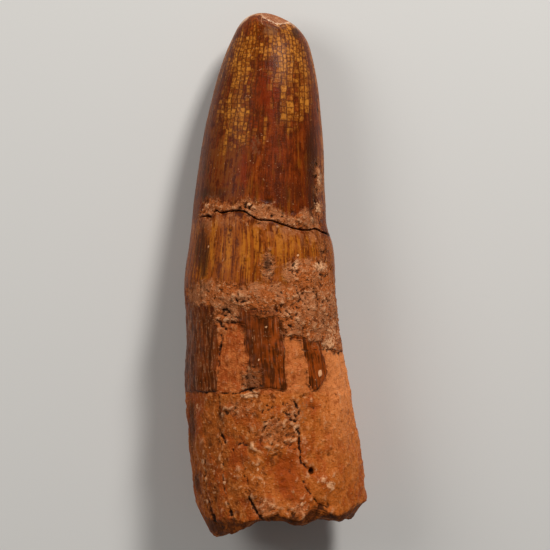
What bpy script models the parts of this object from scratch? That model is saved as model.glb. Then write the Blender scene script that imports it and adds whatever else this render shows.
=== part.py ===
"""A fossil spinosaurus tooth, one solid, lying on its back on a small flat spot.

The tooth runs along Y with its tip at +Y, its width along X and its pictured face up.
A place on it is given as x across and d down from the tip, in millimetres. The skin is
a sphere whose poles are the tip and the middle of the broken root. Each of its rings is
fitted to the width and the depth of the tooth at its own distance from the tip, and
the ledges, cracks, pits and crusts are pressed into the skin after that.
"""

import bmesh
import bpy
import numpy as np
from mathutils import noise

# Driving dimensions, in millimetres. LENGTH runs from the tip to the lowest of the break.
MM = 0.001
LENGTH = 104.7
TUBE_END = 100.0
TUBE_BEND = 84.0
FRONT_SHARE = 0.52
BACK_FLATNESS = 0.88
LEAST_HALF = 0.5
SPOT_DEPTH = 0.4
BENCH_BLOCK = (0.06, 0.14, 0.01)

# Outline seen from above: distance from the tip, and where the edge lies in x.
LEFT_EDGE = [(0.0, -2.6), (0.7, -5.3), (2.5, -7.2), (5.5, -8.6), (14.5, -11.6),
             (26.5, -14.3), (38.5, -16.1), (46.5, -17.2), (55.5, -18.2), (59.5, -17.9),
             (76.0, -17.8), (87.0, -17.1), (97.5, -15.9), (101.5, -15.2)]
RIGHT_EDGE = [(0.0, -2.6), (0.7, 0.6), (2.5, 3.9), (5.5, 6.2), (9.0, 7.2), (17.5, 8.6),
              (26.5, 9.4), (38.5, 9.9), (43.4, 10.5), (45.5, 11.2), (56.5, 12.2),
              (65.5, 13.3), (80.5, 15.8), (95.5, 18.1), (101.5, 18.3)]

# Depth from belly to pictured face, and height of the widest line over the bench.
DEPTH = [(0.0, 0.0), (0.7, 4.9), (2.5, 8.8), (5.5, 11.9), (14.5, 16.2), (26.5, 19.4),
         (44.7, 22.8), (56.5, 24.4), (76.0, 26.0), (101.5, 27.2)]
AXIS_HEIGHT = [(0.0, 8.4), (5.5, 8.9), (14.5, 9.7), (26.5, 10.2), (44.7, 11.15),
               (60.0, 11.88), (76.0, 12.62), (101.5, 14.05)]

# Broken root end seen from above: x across, and how far down the break reaches.
BREAK_LINE = [(-15.4, 99.4), (-14.4, 102.4), (-13.3, 104.4), (-10.6, 104.7), (-8.6, 104.3),
              (-5.4, 102.6), (-2.4, 101.6), (1.5, 102.0), (5.6, 102.4), (8.8, 101.4),
              (13.6, 101.8), (15.4, 101.3), (16.8, 100.0), (18.3, 98.9)]
# Width of the chipped bevel that leads up from the break to the skin, front and back.
FRONT_CHIPS = [(-15.0, 1.5), (-13.0, 3.4), (-9.4, 3.7), (-6.5, 1.8), (-2.6, 1.1), (1.0, 1.9),
               (5.2, 1.6), (7.0, 3.2), (9.5, 2.6), (12.5, 1.5), (15.2, 2.4), (18.0, 1.2)]
BACK_CHIPS = [(-15.0, 1.5), (-9.0, 2.2), (-3.0, 4.2), (2.0, 3.0), (8.0, 1.6), (13.0, 3.0),
              (18.0, 1.2)]
BEVEL_EDGE = 0.84
BEVEL_POWER = 1.3
DISH_DEPTH = 3.4
DISH_MIDDLE = 0.2
DISH_EDGE = 0.76
FOLD_POWER = 0.9

# The crack across the crown, from its pit at the left to the step in the right edge.
FRONT_CRACK = [(-17.0, 41.6), (-13.6, 41.0), (-12.2, 40.1), (-9.0, 40.0), (-6.2, 40.1),
               (-3.4, 41.6), (-0.8, 41.9), (1.6, 42.7), (5.0, 43.7), (8.2, 43.5),
               (10.2, 44.3), (11.4, 45.0)]
BACK_CRACK = [(-17.0, 41.6), (-9.0, 43.2), (-3.0, 42.2), (4.0, 44.8), (11.4, 44.9)]
CRACK_WIDTH = 0.36
CRACK_DEPTH = 0.8

# Enamel over dentine: the full coat ends along a line of x and d, and under it the
# enamel goes on to its ledge only in panels, each with rows of d, left and right edge.
ENAMEL = 0.42
ENAMEL_END = 75.9
FRONT_COAT_END = [(-18.5, 61.0), (-9.0, 62.0), (3.5, 65.0), (9.5, 66.6), (12.0, 67.8),
                  (18.5, 67.6)]
BACK_COAT_END = [(-18.5, 61.0), (-6.0, 66.0), (2.0, 68.0), (8.0, 64.0), (18.5, 65.5)]
FRONT_PANELS = [[(60.0, -19.5, -11.4), (66.0, -19.5, -11.4), (76.4, -19.5, -11.6)],
                [(60.0, -6.4, 0.9), (62.5, -6.0, 1.4), (66.5, -5.7, 1.9), (70.0, -5.3, 2.0),
                 (75.2, -5.4, 2.2)],
                [(64.5, 5.2, 8.9), (67.5, 5.7, 9.4), (70.5, 6.4, 10.2), (72.7, 6.8, 10.2),
                 (74.0, 7.0, 9.6), (75.4, 7.8, 8.4)]]
BACK_PANELS = [[(60.0, -19.5, -13.4), (68.0, -19.5, -12.6), (76.4, -19.5, -13.0)],
               [(60.0, -8.2, 3.2), (68.0, -8.6, 3.8), (76.4, -8.0, 3.4)],
               [(62.0, 7.4, 10.6), (70.0, 7.2, 11.0), (76.4, 7.8, 10.6)]]
PLATE_EDGE = 0.25

# Mounds and pits: x, d, half width, half height, and rise, negative in a pit.
MOUND_FALL = 1.4
MOUND_POWER = 1.5
FRONT_LUMPS = [(6.0, 52.5, 3.6, 2.8, 0.5), (8.8, 58.2, 3.2, 3.4, 0.55),
               (4.4, 60.6, 3.0, 2.6, 0.4), (-3.0, 57.0, 8.0, 1.8, 0.22),
               (-6.0, 38.9, 5.0, 1.3, 0.3), (5.0, 41.6, 3.6, 1.2, 0.3),
               (-1.2, 38.2, 1.3, 0.8, -0.6), (-6.4, 57.8, 1.3, 0.6, -0.8),
               (-10.2, 60.4, 1.5, 1.2, -0.7), (-0.8, 50.8, 1.3, 2.4, -0.3),
               (7.4, 62.6, 2.0, 1.2, 0.35), (1.2, 91.6, 3.6, 5.4, -1.0),
               (0.4, 84.0, 4.4, 2.2, -0.5), (-4.2, 86.4, 0.9, 1.0, 0.6),
               (-6.5, 86.2, 1.0, 0.5, -0.6), (7.4, 91.3, 0.8, 0.8, -1.4),
               (11.2, 93.8, 2.6, 3.4, 0.35), (12.4, 83.0, 2.2, 6.0, 0.3),
               (-8.0, 91.5, 2.0, 5.0, 0.35), (1.6, 79.6, 1.8, 1.6, 0.35),
               (-14.4, 84.0, 1.7, 7.0, 0.25), (9.0, 98.4, 2.4, 1.4, -0.6)]
BACK_LUMPS = [(-6.0, 52.0, 4.2, 3.0, 0.35), (3.0, 30.0, 2.4, 3.2, -0.3),
              (7.0, 47.5, 2.2, 2.6, 0.4), (-9.0, 70.0, 1.6, 1.6, -0.6),
              (10.0, 84.0, 2.6, 5.0, -0.7), (-7.0, 88.0, 3.0, 4.5, -0.6),
              (1.5, 95.0, 3.4, 3.2, 0.5), (13.0, 94.0, 2.0, 3.2, 0.4),
              (-12.0, 94.0, 1.4, 3.6, 0.4), (-2.0, 80.5, 3.4, 1.4, 0.3)]

# Furrows that run down the root: d and x of the points of each.
FRONT_FURROWS = [[(77.0, 4.0), (80.5, 3.6), (85.5, 5.2), (90.1, 5.4), (93.1, 5.6),
                  (95.5, 7.0), (97.5, 9.0), (98.6, 11.4)],
                 [(76.5, -11.4), (85.5, -10.6), (93.5, -10.4), (101.0, -9.0)],
                 [(91.0, -5.4), (95.5, -5.6), (98.0, -4.6), (101.0, -3.2)],
                 [(88.5, -14.0), (95.0, -13.2), (101.5, -13.4)]]
BACK_FURROWS = [[(77.0, -9.5), (86.0, -8.8), (94.0, -9.2), (101.0, -8.0)],
                [(79.0, 5.0), (88.0, 6.2), (94.0, 5.4), (101.0, 6.8)],
                [(82.0, 12.0), (91.0, 13.4), (99.0, 12.8)]]
FURROW_WIDTH = 0.55
FURROW_DEPTH = 0.6
FURROW_START = (-0.5, 1.5)
FURROW_STOP = 1.0

# What each face carries, and the band beside the outline where it fades out.
FRONT_FACE = (FRONT_COAT_END, FRONT_PANELS, FRONT_CRACK, FRONT_LUMPS, FRONT_FURROWS)
BACK_FACE = (BACK_COAT_END, BACK_PANELS, BACK_CRACK, BACK_LUMPS, BACK_FURROWS)
OUTLINE_BAND = 0.3

# Keels down both edges of the crown, and the worn facet at the tip.
KEEL_RISE = 0.3
KEEL_SPREAD = 0.16
KEEL_FADE = (36.0, 44.0)
WEAR_NORMAL = (0.20, 0.84, 0.50)
WEAR_CUT = 0.7

# Uneven skin: the size of its lumps and how far they stand out. The crown has a share
# of the swell of the root, and the tip keeps smooth.
SWELL_SIZE = 9.0
SWELL_RISE = 0.22
CROWN_SHARE = 0.4
GRIT_SIZE = 1.9
GRIT_RISE = 0.2
RAGGED_SIZE = 2.6
RAGGED_RISE = 0.3
BREAK_LUMP_SIZE = 3.2
BREAK_ROUGHNESS = 0.6
ROUGH_START = (44.0, 60.0)
TIP_FADE = (0.5, 6.0)

# The belly is calmer where the tooth touches the bench: from d to d, and how low.
BELLY_CALM = 0.85
CALM_START = (34.0, 42.0)
CALM_END = (78.0, 84.0)
CALM_SIDE = (0.8, 0.97)

# Fineness of the skin before thinning, and the triangles that are kept.
RINGS = 320
TUBE_SHARE = 0.9
TIP_BUNCHING = 0.035
SEGMENTS = 256
TRIANGLES = 9400

# Finish of the plain solid.
STONE_COLOUR = (0.23, 0.062, 0.014, 1.0)
STONE_ROUGHNESS = 0.45


def clear_scene():
    """Removes the objects that are in the scene."""
    for thing in list(bpy.data.objects):
        bpy.data.objects.remove(thing)


def collection(name):
    """Makes a collection in the scene."""
    group = bpy.data.collections.new(name)
    bpy.context.scene.collection.children.link(group)
    return group


def smoothstep(low, high, value):
    """Eases from 0 at low to 1 at high."""
    share = np.clip((value - low) / (high - low), 0.0, 1.0)
    return share * share * (3.0 - 2.0 * share)


def curve(points, value, scale=np.asarray):
    """Runs a smooth curve through the points and reads its height at each value."""
    places, heights = np.array(points, dtype=float).T
    places = scale(places)
    value = np.clip(scale(value), places[0], places[-1])
    gaps = np.diff(places)
    climbs = np.diff(heights) / gaps
    inner = (climbs[:-1] * gaps[1:] + climbs[1:] * gaps[:-1]) / (gaps[1:] + gaps[:-1])
    slopes = np.concatenate((climbs[:1], inner, climbs[-1:]))
    cell = np.clip(np.searchsorted(places, value) - 1, 0, len(gaps) - 1)
    share = (value - places[cell]) / gaps[cell]
    left = 1.0 - share
    ends = left ** 2 * (1.0 + 2.0 * share) * heights[cell]
    ends += share ** 2 * (3.0 - 2.0 * share) * heights[cell + 1]
    leans = left ** 2 * share * slopes[cell] - share ** 2 * left * slopes[cell + 1]
    return ends + leans * gaps[cell]


def round_curve(points, down):
    """Reads a curve over the square root of the distance, which makes the tip round."""
    return curve(points, down, np.sqrt)


def uneven(places, size, detail):
    """Reads smooth noise of about plus or minus 1 at each place."""
    return np.array([noise.fractal(place / size, 1.0, 2.0, detail) for place in places])


def spot(x, down, lump):
    """A soft mound, 1 at its middle, that fades out at its half width and half height."""
    middle_x, middle_down, half_x, half_down = lump[:4]
    reach = ((x - middle_x) / half_x) ** 2 + ((down - middle_down) / half_down) ** 2
    return np.exp(-MOUND_FALL * reach ** MOUND_POWER)


def plate(room):
    """Turns room to the nearest edge, negative outside, into a plate: 1 on it, 0 off it."""
    return smoothstep(-PLATE_EDGE, PLATE_EDGE, room)


def panel(x, down, rows):
    """Room inside a panel of enamel, which has a left and a right edge for each row."""
    places, left, right = np.array(rows).T
    across = np.minimum(x - curve(np.stack((places, left), axis=1), down),
                        curve(np.stack((places, right), axis=1), down) - x)
    return np.minimum(across, np.minimum(down - places[0], places[-1] - down))


def enamel_coat(x, down, ragged, coat_end, panels):
    """Where there is enamel: 1 on it, 0 on bare dentine."""
    room = curve(coat_end, x) - down
    for rows in panels:
        room = np.maximum(room, panel(x, down, rows))
    return plate(np.minimum(room, ENAMEL_END - down) + ragged)


def furrow(x, down, points):
    """A groove that follows its points down the tooth and fades at both ends."""
    top, bottom = points[0][0], points[-1][0]
    starts = smoothstep(top + FURROW_START[0], top + FURROW_START[1], down)
    stops = 1.0 - smoothstep(bottom - FURROW_STOP, bottom, down)
    return starts * stops * np.exp(-((x - curve(points, down)) / FURROW_WIDTH) ** 2)


def face_relief(x, down, ragged, coat_end, panels, crack, lumps, furrows):
    """How far one face of the tooth stands out from the smooth skin."""
    rise = ENAMEL * (enamel_coat(x, down, ragged, coat_end, panels) - 1.0)
    rise -= CRACK_DEPTH * np.exp(-((down + ragged - curve(crack, x)) / CRACK_WIDTH) ** 2)
    rise += sum(lump[4] * spot(x, down, lump) for lump in lumps)
    rise -= FURROW_DEPTH * sum(furrow(x, down, points) for points in furrows)
    return rise


def break_depth(x, front, inward, places):
    """How far down the broken root end reaches, at a share inward of its half width."""
    chips = np.where(front, curve(FRONT_CHIPS, x), curve(BACK_CHIPS, x))
    rough = BREAK_ROUGHNESS * (uneven(places, BREAK_LUMP_SIZE, 3) - 1.0)
    skin_share = smoothstep(BEVEL_EDGE, 1.0, inward)
    bevel = chips * skin_share ** BEVEL_POWER
    dish = DISH_DEPTH * (1.0 - smoothstep(DISH_MIDDLE, DISH_EDGE, inward))
    return curve(BREAK_LINE, x) - bevel - dish + rough * (1.0 - skin_share)


def tooth_points(sphere):
    """Carries the points of a unit sphere, poles along Z, to the skin of the tooth."""
    turn = np.arctan2(-sphere[:, 1], sphere[:, 0])
    ring = np.arccos(np.clip(sphere[:, 2], -1.0, 1.0)) / np.pi
    over, side = np.sin(turn), np.cos(turn)
    front = over >= 0.0

    run = np.clip(ring / TUBE_SHARE, 0.0, 1.0)
    far = np.hypot(1.0, TIP_BUNCHING) - TIP_BUNCHING
    down = TUBE_END * (np.hypot(run, TIP_BUNCHING) - TIP_BUNCHING) / far
    inward = 1.0 - np.clip((ring - TUBE_SHARE) / (1.0 - TUBE_SHARE), 0.0, 1.0) ** FOLD_POWER

    def section(distance):
        """Middle, half width, half depth and height of the axis at each distance."""
        left, right = round_curve(LEFT_EDGE, distance), round_curve(RIGHT_EDGE, distance)
        share = np.where(front, FRONT_SHARE, 1.0 - FRONT_SHARE)
        depth = share * round_curve(DEPTH, distance)
        return (left + right) / 2, (right - left) / 2, depth, round_curve(AXIS_HEIGHT, distance)

    middle, half, depth, axis = section(down)
    x = middle + half * side * inward
    z = axis + depth * over * inward
    places = np.stack((x, down, z), axis=1)
    bend = smoothstep(TUBE_BEND, TUBE_END, down)
    down = down + bend * (break_depth(x, front, inward, places) - TUBE_END)

    middle, half, depth, axis = section(down)
    flatter = np.where(front, over, -np.abs(over) ** BACK_FLATNESS)
    x = middle + half * side * inward
    z = axis + depth * flatter * inward

    skin = smoothstep(*TIP_FADE, down) * smoothstep(BEVEL_EDGE, 1.0, inward)
    places = np.stack((x, down, z), axis=1)
    ragged = RAGGED_RISE * uneven(places, RAGGED_SIZE, 2)
    rise = np.where(front, face_relief(x, down, ragged, *FRONT_FACE),
                    face_relief(x, down, ragged, *BACK_FACE))
    rise *= smoothstep(0.0, OUTLINE_BAND, np.abs(over))
    rough = smoothstep(*ROUGH_START, down)
    swell = SWELL_RISE * uneven(places, SWELL_SIZE, 2)
    rise += swell * (CROWN_SHARE + (1.0 - CROWN_SHARE) * rough)
    rise += GRIT_RISE * uneven(places, GRIT_SIZE, 2) * rough
    calm = smoothstep(*CALM_START, down) * (1.0 - smoothstep(*CALM_END, down))
    rise *= 1.0 - BELLY_CALM * calm * smoothstep(*CALM_SIDE, -over)
    keel = np.exp(-(over / KEEL_SPREAD) ** 2) * (1.0 - smoothstep(*KEEL_FADE, down))
    rise = skin * (rise + KEEL_RISE * keel)

    out_x = side / half.clip(LEAST_HALF)
    out_z = over / depth.clip(LEAST_HALF)
    lean = np.hypot(out_x, out_z)
    x += rise * out_x / lean
    z += rise * out_z / lean
    return np.stack((x, LENGTH / 2 - down, z), axis=1)


def worn(points):
    """Rubs the tip down to a flat facet."""
    normal = np.array(WEAR_NORMAL)
    normal /= np.linalg.norm(normal)
    height = points @ normal
    level = height.max() - WEAR_CUT
    return points - np.outer(np.maximum(height - level, 0.0), normal)


def stone():
    """Red-brown mineralised enamel and dentine, a little polished."""
    finish = bpy.data.materials.new("red_brown_fossil")
    finish.use_nodes = True
    shader = finish.node_tree.nodes["Principled BSDF"]
    shader.inputs["Base Color"].default_value = STONE_COLOUR
    shader.inputs["Roughness"].default_value = STONE_ROUGHNESS
    shader.inputs["Metallic"].default_value = 0.0
    return finish


def tooth(group):
    """The tooth, from a sphere that is fitted to its form and then thinned."""
    mesh = bpy.data.meshes.new("tooth")
    skin = bmesh.new()
    bmesh.ops.create_uvsphere(skin, u_segments=SEGMENTS, v_segments=RINGS, radius=1.0)
    skin.to_mesh(mesh)
    skin.free()
    sphere = np.empty(3 * len(mesh.vertices))
    mesh.vertices.foreach_get("co", sphere)
    points = worn(tooth_points(sphere.reshape(-1, 3)))
    points[:, 2] -= points[:, 2].min() + SPOT_DEPTH
    mesh.vertices.foreach_set("co", (points * MM).ravel())
    mesh.update()
    mesh.materials.append(stone())
    mesh.shade_smooth()
    thing = bpy.data.objects.new("tooth", mesh)
    group.objects.link(thing)
    thinning = thing.modifiers.new("thinning", "DECIMATE")
    thinning.ratio = TRIANGLES / (2 * SEGMENTS * (RINGS - 1))
    return thing


def flatten_belly(thing, group):
    """Takes the belly off at the bench, which leaves the small flat spot to rest on."""
    mesh = bpy.data.meshes.new("below_bench")
    block = bmesh.new()
    bmesh.ops.create_cube(block, size=1.0)
    bmesh.ops.scale(block, verts=block.verts, vec=BENCH_BLOCK)
    bmesh.ops.translate(block, verts=block.verts, vec=(0.0, 0.0, -BENCH_BLOCK[2] / 2))
    block.to_mesh(mesh)
    block.free()
    cutter = bpy.data.objects.new("below_bench", mesh)
    cutter.display_type = "WIRE"
    cutter.hide_render = True
    group.objects.link(cutter)
    cut = thing.modifiers.new("flat_spot", "BOOLEAN")
    cut.operation = "DIFFERENCE"
    cut.object = cutter


def main():
    """Builds the tooth in the empty scene."""
    clear_scene()
    model = collection("spinosaurus_tooth")
    cutters = collection("cutters")
    flatten_belly(tooth(model), cutters)


main()
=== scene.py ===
# %% [markdown]
# # A fossil spinosaurus tooth
#
# This lesson dresses one fossil tooth. The plain solid of the tooth is loaded first
# and never moves. Over it goes one fine mesh of the same form with the smaller ledges,
# grains and pits, then a painted finish made of nodes, then a floor, lights and a camera.
#
# A place on the tooth is given as x, across, and down, the distance below the tip, both
# in millimetres. The tooth lies on its back with its tip at +Y and its good face up.

import bpy
import numpy as np
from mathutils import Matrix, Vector, noise


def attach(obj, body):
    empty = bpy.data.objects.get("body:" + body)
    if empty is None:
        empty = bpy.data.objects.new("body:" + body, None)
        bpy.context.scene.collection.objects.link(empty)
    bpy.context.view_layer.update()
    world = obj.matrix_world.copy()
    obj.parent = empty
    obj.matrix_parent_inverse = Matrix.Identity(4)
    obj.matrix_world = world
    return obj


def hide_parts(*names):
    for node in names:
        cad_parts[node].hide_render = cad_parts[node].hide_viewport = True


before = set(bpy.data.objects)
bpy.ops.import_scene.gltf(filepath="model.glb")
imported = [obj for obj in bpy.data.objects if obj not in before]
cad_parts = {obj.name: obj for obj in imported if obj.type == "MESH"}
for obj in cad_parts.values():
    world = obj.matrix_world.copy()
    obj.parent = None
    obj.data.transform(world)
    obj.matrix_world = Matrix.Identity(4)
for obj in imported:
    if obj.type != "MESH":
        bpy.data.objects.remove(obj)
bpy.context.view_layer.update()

MM = 0.001

# %% [markdown]
# ## The camera
#
# The picture was taken square on to the good face. The tooth lies down here, so the
# camera hangs above it and looks straight down. A long lens keeps the sides of the
# tooth nearly parallel, as they are in the picture. One pixel covers 0.2 mm at the
# height of the outline, which sets how far away the camera is.

# %% Camera
PICTURE_PIXELS = 550
PIXEL_MM = 0.2
LENS = 300.0
OUTLINE_HEIGHT = 12.0
PICTURE_CENTRE_Y = -0.3

camera_data = bpy.data.cameras.new("camera")
camera_data.lens = LENS
camera_data.clip_start = 0.01
camera = bpy.data.objects.new("camera", camera_data)
bpy.context.scene.collection.objects.link(camera)
distance = PICTURE_PIXELS * PIXEL_MM * LENS / camera_data.sensor_width
camera.location = (0.0, PICTURE_CENTRE_Y * MM, (distance + OUTLINE_HEIGHT) * MM)
bpy.context.scene.camera = camera
print("camera height:", round(camera.location.z, 4), "m")

# %% [markdown]
# ## Smooth curves through a few points
#
# The outline of a tooth has no corners, so a few measured points and a smooth curve
# through them say more than a long list would. Near the tip the curve is read over the
# square root of the distance. A curve that is straight there turns into a round nose.

# %% Curves
def smoothstep(low, high, value):
    """Eases from 0 at low to 1 at high."""
    share = np.clip((value - low) / (high - low), 0.0, 1.0)
    return share * share * (3.0 - 2.0 * share)


def curve(points, value, scale=np.asarray):
    """Runs a smooth curve through the points and reads its height at each value."""
    places, heights = np.array(points, dtype=float).T
    places = scale(places)
    value = np.clip(scale(value), places[0], places[-1])
    gaps = np.diff(places)
    climbs = np.diff(heights) / gaps
    inner = (climbs[:-1] * gaps[1:] + climbs[1:] * gaps[:-1]) / (gaps[1:] + gaps[:-1])
    slopes = np.concatenate((climbs[:1], inner, climbs[-1:]))
    cell = np.clip(np.searchsorted(places, value) - 1, 0, len(gaps) - 1)
    share = (value - places[cell]) / gaps[cell]
    left = 1.0 - share
    ends = left ** 2 * (1.0 + 2.0 * share) * heights[cell]
    ends += share ** 2 * (3.0 - 2.0 * share) * heights[cell + 1]
    leans = left ** 2 * share * slopes[cell] - share ** 2 * left * slopes[cell + 1]
    return ends + leans * gaps[cell]


def round_curve(points, down):
    """Reads a curve over the square root of the distance, which makes the tip round."""
    return curve(points, down, np.sqrt)


print("half way of a smooth step:", smoothstep(0.0, 1.0, 0.5))

# %% [markdown]
# ## Outline and depth
#
# The left and right edges are read off the picture, and they are crooked in different
# ways. The depth can't be seen there, so it is a guess of three quarters of the width, as
# in other teeth of this kind. A little more than half of it lies in front of the widest
# line, and that line climbs towards the root, because the tooth lies on its belly.

# %% Outline and depth of the tooth
LENGTH = 104.7
LEFT_EDGE = [(0.0, -2.6), (0.7, -5.3), (2.5, -7.2), (5.5, -8.6), (14.5, -11.6),
             (26.5, -14.3), (38.5, -16.1), (46.5, -17.2), (55.5, -18.2), (59.5, -17.9),
             (76.0, -17.8), (87.0, -17.1), (97.5, -15.9), (101.5, -15.2)]
RIGHT_EDGE = [(0.0, -2.6), (0.7, 0.6), (2.5, 3.9), (5.5, 6.2), (9.0, 7.2), (17.5, 8.6),
              (26.5, 9.4), (38.5, 9.9), (43.4, 10.5), (45.5, 11.2), (56.5, 12.2),
              (65.5, 13.3), (80.5, 15.8), (95.5, 18.1), (101.5, 18.3)]
DEPTH = [(0.0, 0.0), (0.7, 4.9), (2.5, 8.8), (5.5, 11.9), (14.5, 16.2), (26.5, 19.4),
         (44.7, 22.8), (56.5, 24.4), (76.0, 26.0), (101.5, 27.2)]
AXIS_HEIGHT = [(0.0, 8.4), (5.5, 8.9), (14.5, 9.7), (26.5, 10.2), (44.7, 11.15),
               (60.0, 11.88), (76.0, 12.62), (101.5, 14.05)]
FRONT_SHARE = 0.52


def section(down, front):
    """Middle, half width, half depth and height of the axis at a distance down."""
    left, right = round_curve(LEFT_EDGE, down), round_curve(RIGHT_EDGE, down)
    share = np.where(front, FRONT_SHARE, 1.0 - FRONT_SHARE)
    depth = share * round_curve(DEPTH, down)
    return (left + right) / 2, (right - left) / 2, depth, round_curve(AXIS_HEIGHT, down)


root_place = np.array([97.5])
root_width = round_curve(RIGHT_EDGE, root_place) - round_curve(LEFT_EDGE, root_place)
print("width of the root near the break:", round(float(root_width[0]), 2), "mm")

# %% [markdown]
# ## A grid of rings that follows the features
#
# The skin could be a sphere that is subdivided and sculpted. Here it is a grid of rings
# with a tip and an end point, because then every later step is plain arithmetic on a
# table of rings and turns. Rings are closer together where a narrow thing runs around
# the tooth: at the round tip, along the crack and at the ledge where the enamel ends.
# The rings near the crack also bend to run along it, so its lips come out clean.

# %% Rings and turns
RINGS = 343
CAP_RINGS = 30
TURNS = 288
TUBE_END = 100.0
FRONT_PULL = 0.3
ENAMEL_END = 75.9
FRONT_CRACK = [(-17.0, 41.6), (-13.6, 41.0), (-12.8, 41.1), (-12.2, 40.1), (-11.6, 39.9),
               (-11.2, 40.2), (-9.0, 40.0), (-6.2, 40.1), (-5.0, 40.8), (-3.4, 41.6),
               (-2.0, 41.8), (-0.8, 41.9), (1.6, 42.7), (5.0, 43.7), (7.4, 43.7),
               (8.2, 43.5), (9.4, 44.1), (10.2, 44.3), (11.4, 45.0)]
BACK_CRACK = [(-17.0, 41.6), (-9.0, 43.2), (-3.0, 42.2), (4.0, 44.8), (11.4, 44.9)]
CRACK_MIDDLE = 42.2
CRACK_BEND = 7.0
FINE_STEPS = 8001
EVEN_SHARE, TIP_SHARE, TIP_NEARNESS = 0.75, 1.6, 0.02
ROUGH_SHARE, ROUGH_RANGE = 0.35, (44.0, 56.0)
CRACK_SHARE, CRACK_NEARNESS = 3.4, 0.8
LEDGE_SHARE, LEDGE_NEARNESS = 1.2, 0.9


def ring_stations(count):
    """Distances of the rings from the tip, closest where the narrow features are."""
    fine = np.linspace(0.0, TUBE_END, FINE_STEPS)
    closeness = EVEN_SHARE + TIP_SHARE / np.sqrt(fine + TIP_NEARNESS)
    closeness += ROUGH_SHARE * smoothstep(*ROUGH_RANGE, fine)
    closeness += CRACK_SHARE * np.exp(-((fine - CRACK_MIDDLE) / CRACK_NEARNESS) ** 2)
    closeness += LEDGE_SHARE * np.exp(-((fine - ENAMEL_END) / LEDGE_NEARNESS) ** 2)
    run = np.concatenate(([0.0], np.cumsum((closeness[1:] + closeness[:-1]) / 2)))
    return np.interp(np.linspace(0.0, run[-1], count + 1)[1:], run, fine)


stations = ring_stations(RINGS - CAP_RINGS)
turn = np.linspace(-np.pi, np.pi, TURNS, endpoint=False)
turn = turn + FRONT_PULL * np.cos(turn)
over, side = np.sin(turn)[None, :], np.cos(turn)[None, :]
front = over >= 0.0
ring_gaps = np.diff(stations)
print("ring gap from", ring_gaps.min().round(3), "to", ring_gaps.max().round(3), "mm")

# %% [markdown]
# ## The broken end of the root
#
# The root snapped off, so the tooth ends in a rough face with chipped edges. Seen from
# the front the break is a slanted line with a few scallops, and above it a narrow bevel
# leads back up to the skin. Inside, the old pulp hollow is a shallow dish that
# sediment has filled.

# %% Broken end
BREAK_LINE = [(-15.4, 99.4), (-14.4, 102.4), (-13.3, 104.4), (-10.6, 104.7), (-8.6, 104.3),
              (-5.4, 102.6), (-2.4, 101.6), (1.5, 102.0), (5.6, 102.4), (8.8, 101.4),
              (13.6, 101.8), (15.4, 101.3), (16.8, 100.0), (18.3, 98.9)]
FRONT_CHIPS = [(-15.0, 1.5), (-13.0, 3.4), (-9.4, 3.7), (-6.5, 1.8), (-2.6, 1.1), (1.0, 1.9),
               (5.2, 1.6), (7.0, 3.2), (9.5, 2.6), (12.5, 1.5), (15.2, 2.4), (18.0, 1.2)]
BACK_CHIPS = [(-15.0, 1.5), (-9.0, 2.2), (-3.0, 4.2), (2.0, 3.0), (8.0, 1.6), (13.0, 3.0),
              (18.0, 1.2)]
BEVEL_EDGE, BEVEL_POWER = 0.84, 1.3
DISH_DEPTH, DISH_MIDDLE, DISH_EDGE = 3.4, 0.2, 0.76
BREAK_LUMP_SIZE = 3.2
BREAK_ROUGHNESS = 0.6


def uneven(places, size, detail):
    """Smooth noise of about plus or minus 1, its lumps as large as size, in millimetres."""
    flat = places.reshape(-1, 3) / size
    values = np.array([noise.fractal(place, 1.0, 2.0, detail) for place in flat])
    return values.reshape(places.shape[:-1])


def break_depth(x, inward, places):
    """How far down the broken root end reaches, at a share inward of its half width."""
    chips = np.where(front, curve(FRONT_CHIPS, x), curve(BACK_CHIPS, x))
    on_bevel = smoothstep(BEVEL_EDGE, 1.0, inward)
    rough = BREAK_ROUGHNESS * (uneven(places, BREAK_LUMP_SIZE, 3) - 1.0) * (1.0 - on_bevel)
    dish = DISH_DEPTH * (1.0 - smoothstep(DISH_MIDDLE, DISH_EDGE, inward))
    return curve(BREAK_LINE, x) - chips * on_bevel ** BEVEL_POWER - dish + rough


# %% [markdown]
# ## The form without relief
#
# Now the rings are laid out. A tube ring is an ellipse with its own width and depth, and
# the last rings fold in over the broken end. The bend carries the rings of the last
# stretch down to the slanted break.

# %% Smooth form
TUBE_BEND = 84.0
BACK_FLATNESS = 0.88
FOLD_POWER = 0.9

fold = (np.arange(1, CAP_RINGS) / CAP_RINGS) ** FOLD_POWER
down = np.concatenate((stations, np.full(CAP_RINGS - 1, TUBE_END)))[:, None] + 0.0 * side
inward = np.concatenate((np.ones(len(stations)), 1.0 - fold))[:, None] + 0.0 * side
middle, half, depth, axis = section(down, front)
x = middle + half * side * inward
crack_line = np.where(front, curve(FRONT_CRACK, x), curve(BACK_CRACK, x))
pull = np.exp(-((down - CRACK_MIDDLE) / CRACK_BEND) ** 2)
down = down + pull * (crack_line - CRACK_MIDDLE)
places = np.stack((x, down, axis + depth * over * inward), axis=-1)
bend = smoothstep(TUBE_BEND, TUBE_END, down)
down = down + bend * (break_depth(x, inward, places) - TUBE_END)
middle, half, depth, axis = section(down, front)
x = middle + half * side * inward
z = axis + depth * np.where(front, over, -np.abs(over) ** BACK_FLATNESS) * inward
print("rings by turns:", x.shape)

# %% [markdown]
# ## Enamel, ledge and windows
#
# The crown of a living tooth wears a thin coat of enamel over dentine. On this one the
# full coat stops at an uneven line. Below it the enamel goes on as long dark panels, and
# between them the bare dentine shows as orange windows. All of it ends in a ledge where
# the root starts. Each edge is worked out as the room that is left to it, in
# millimetres, positive on the enamel. The same numbers cut the step and mask the paint.

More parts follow.
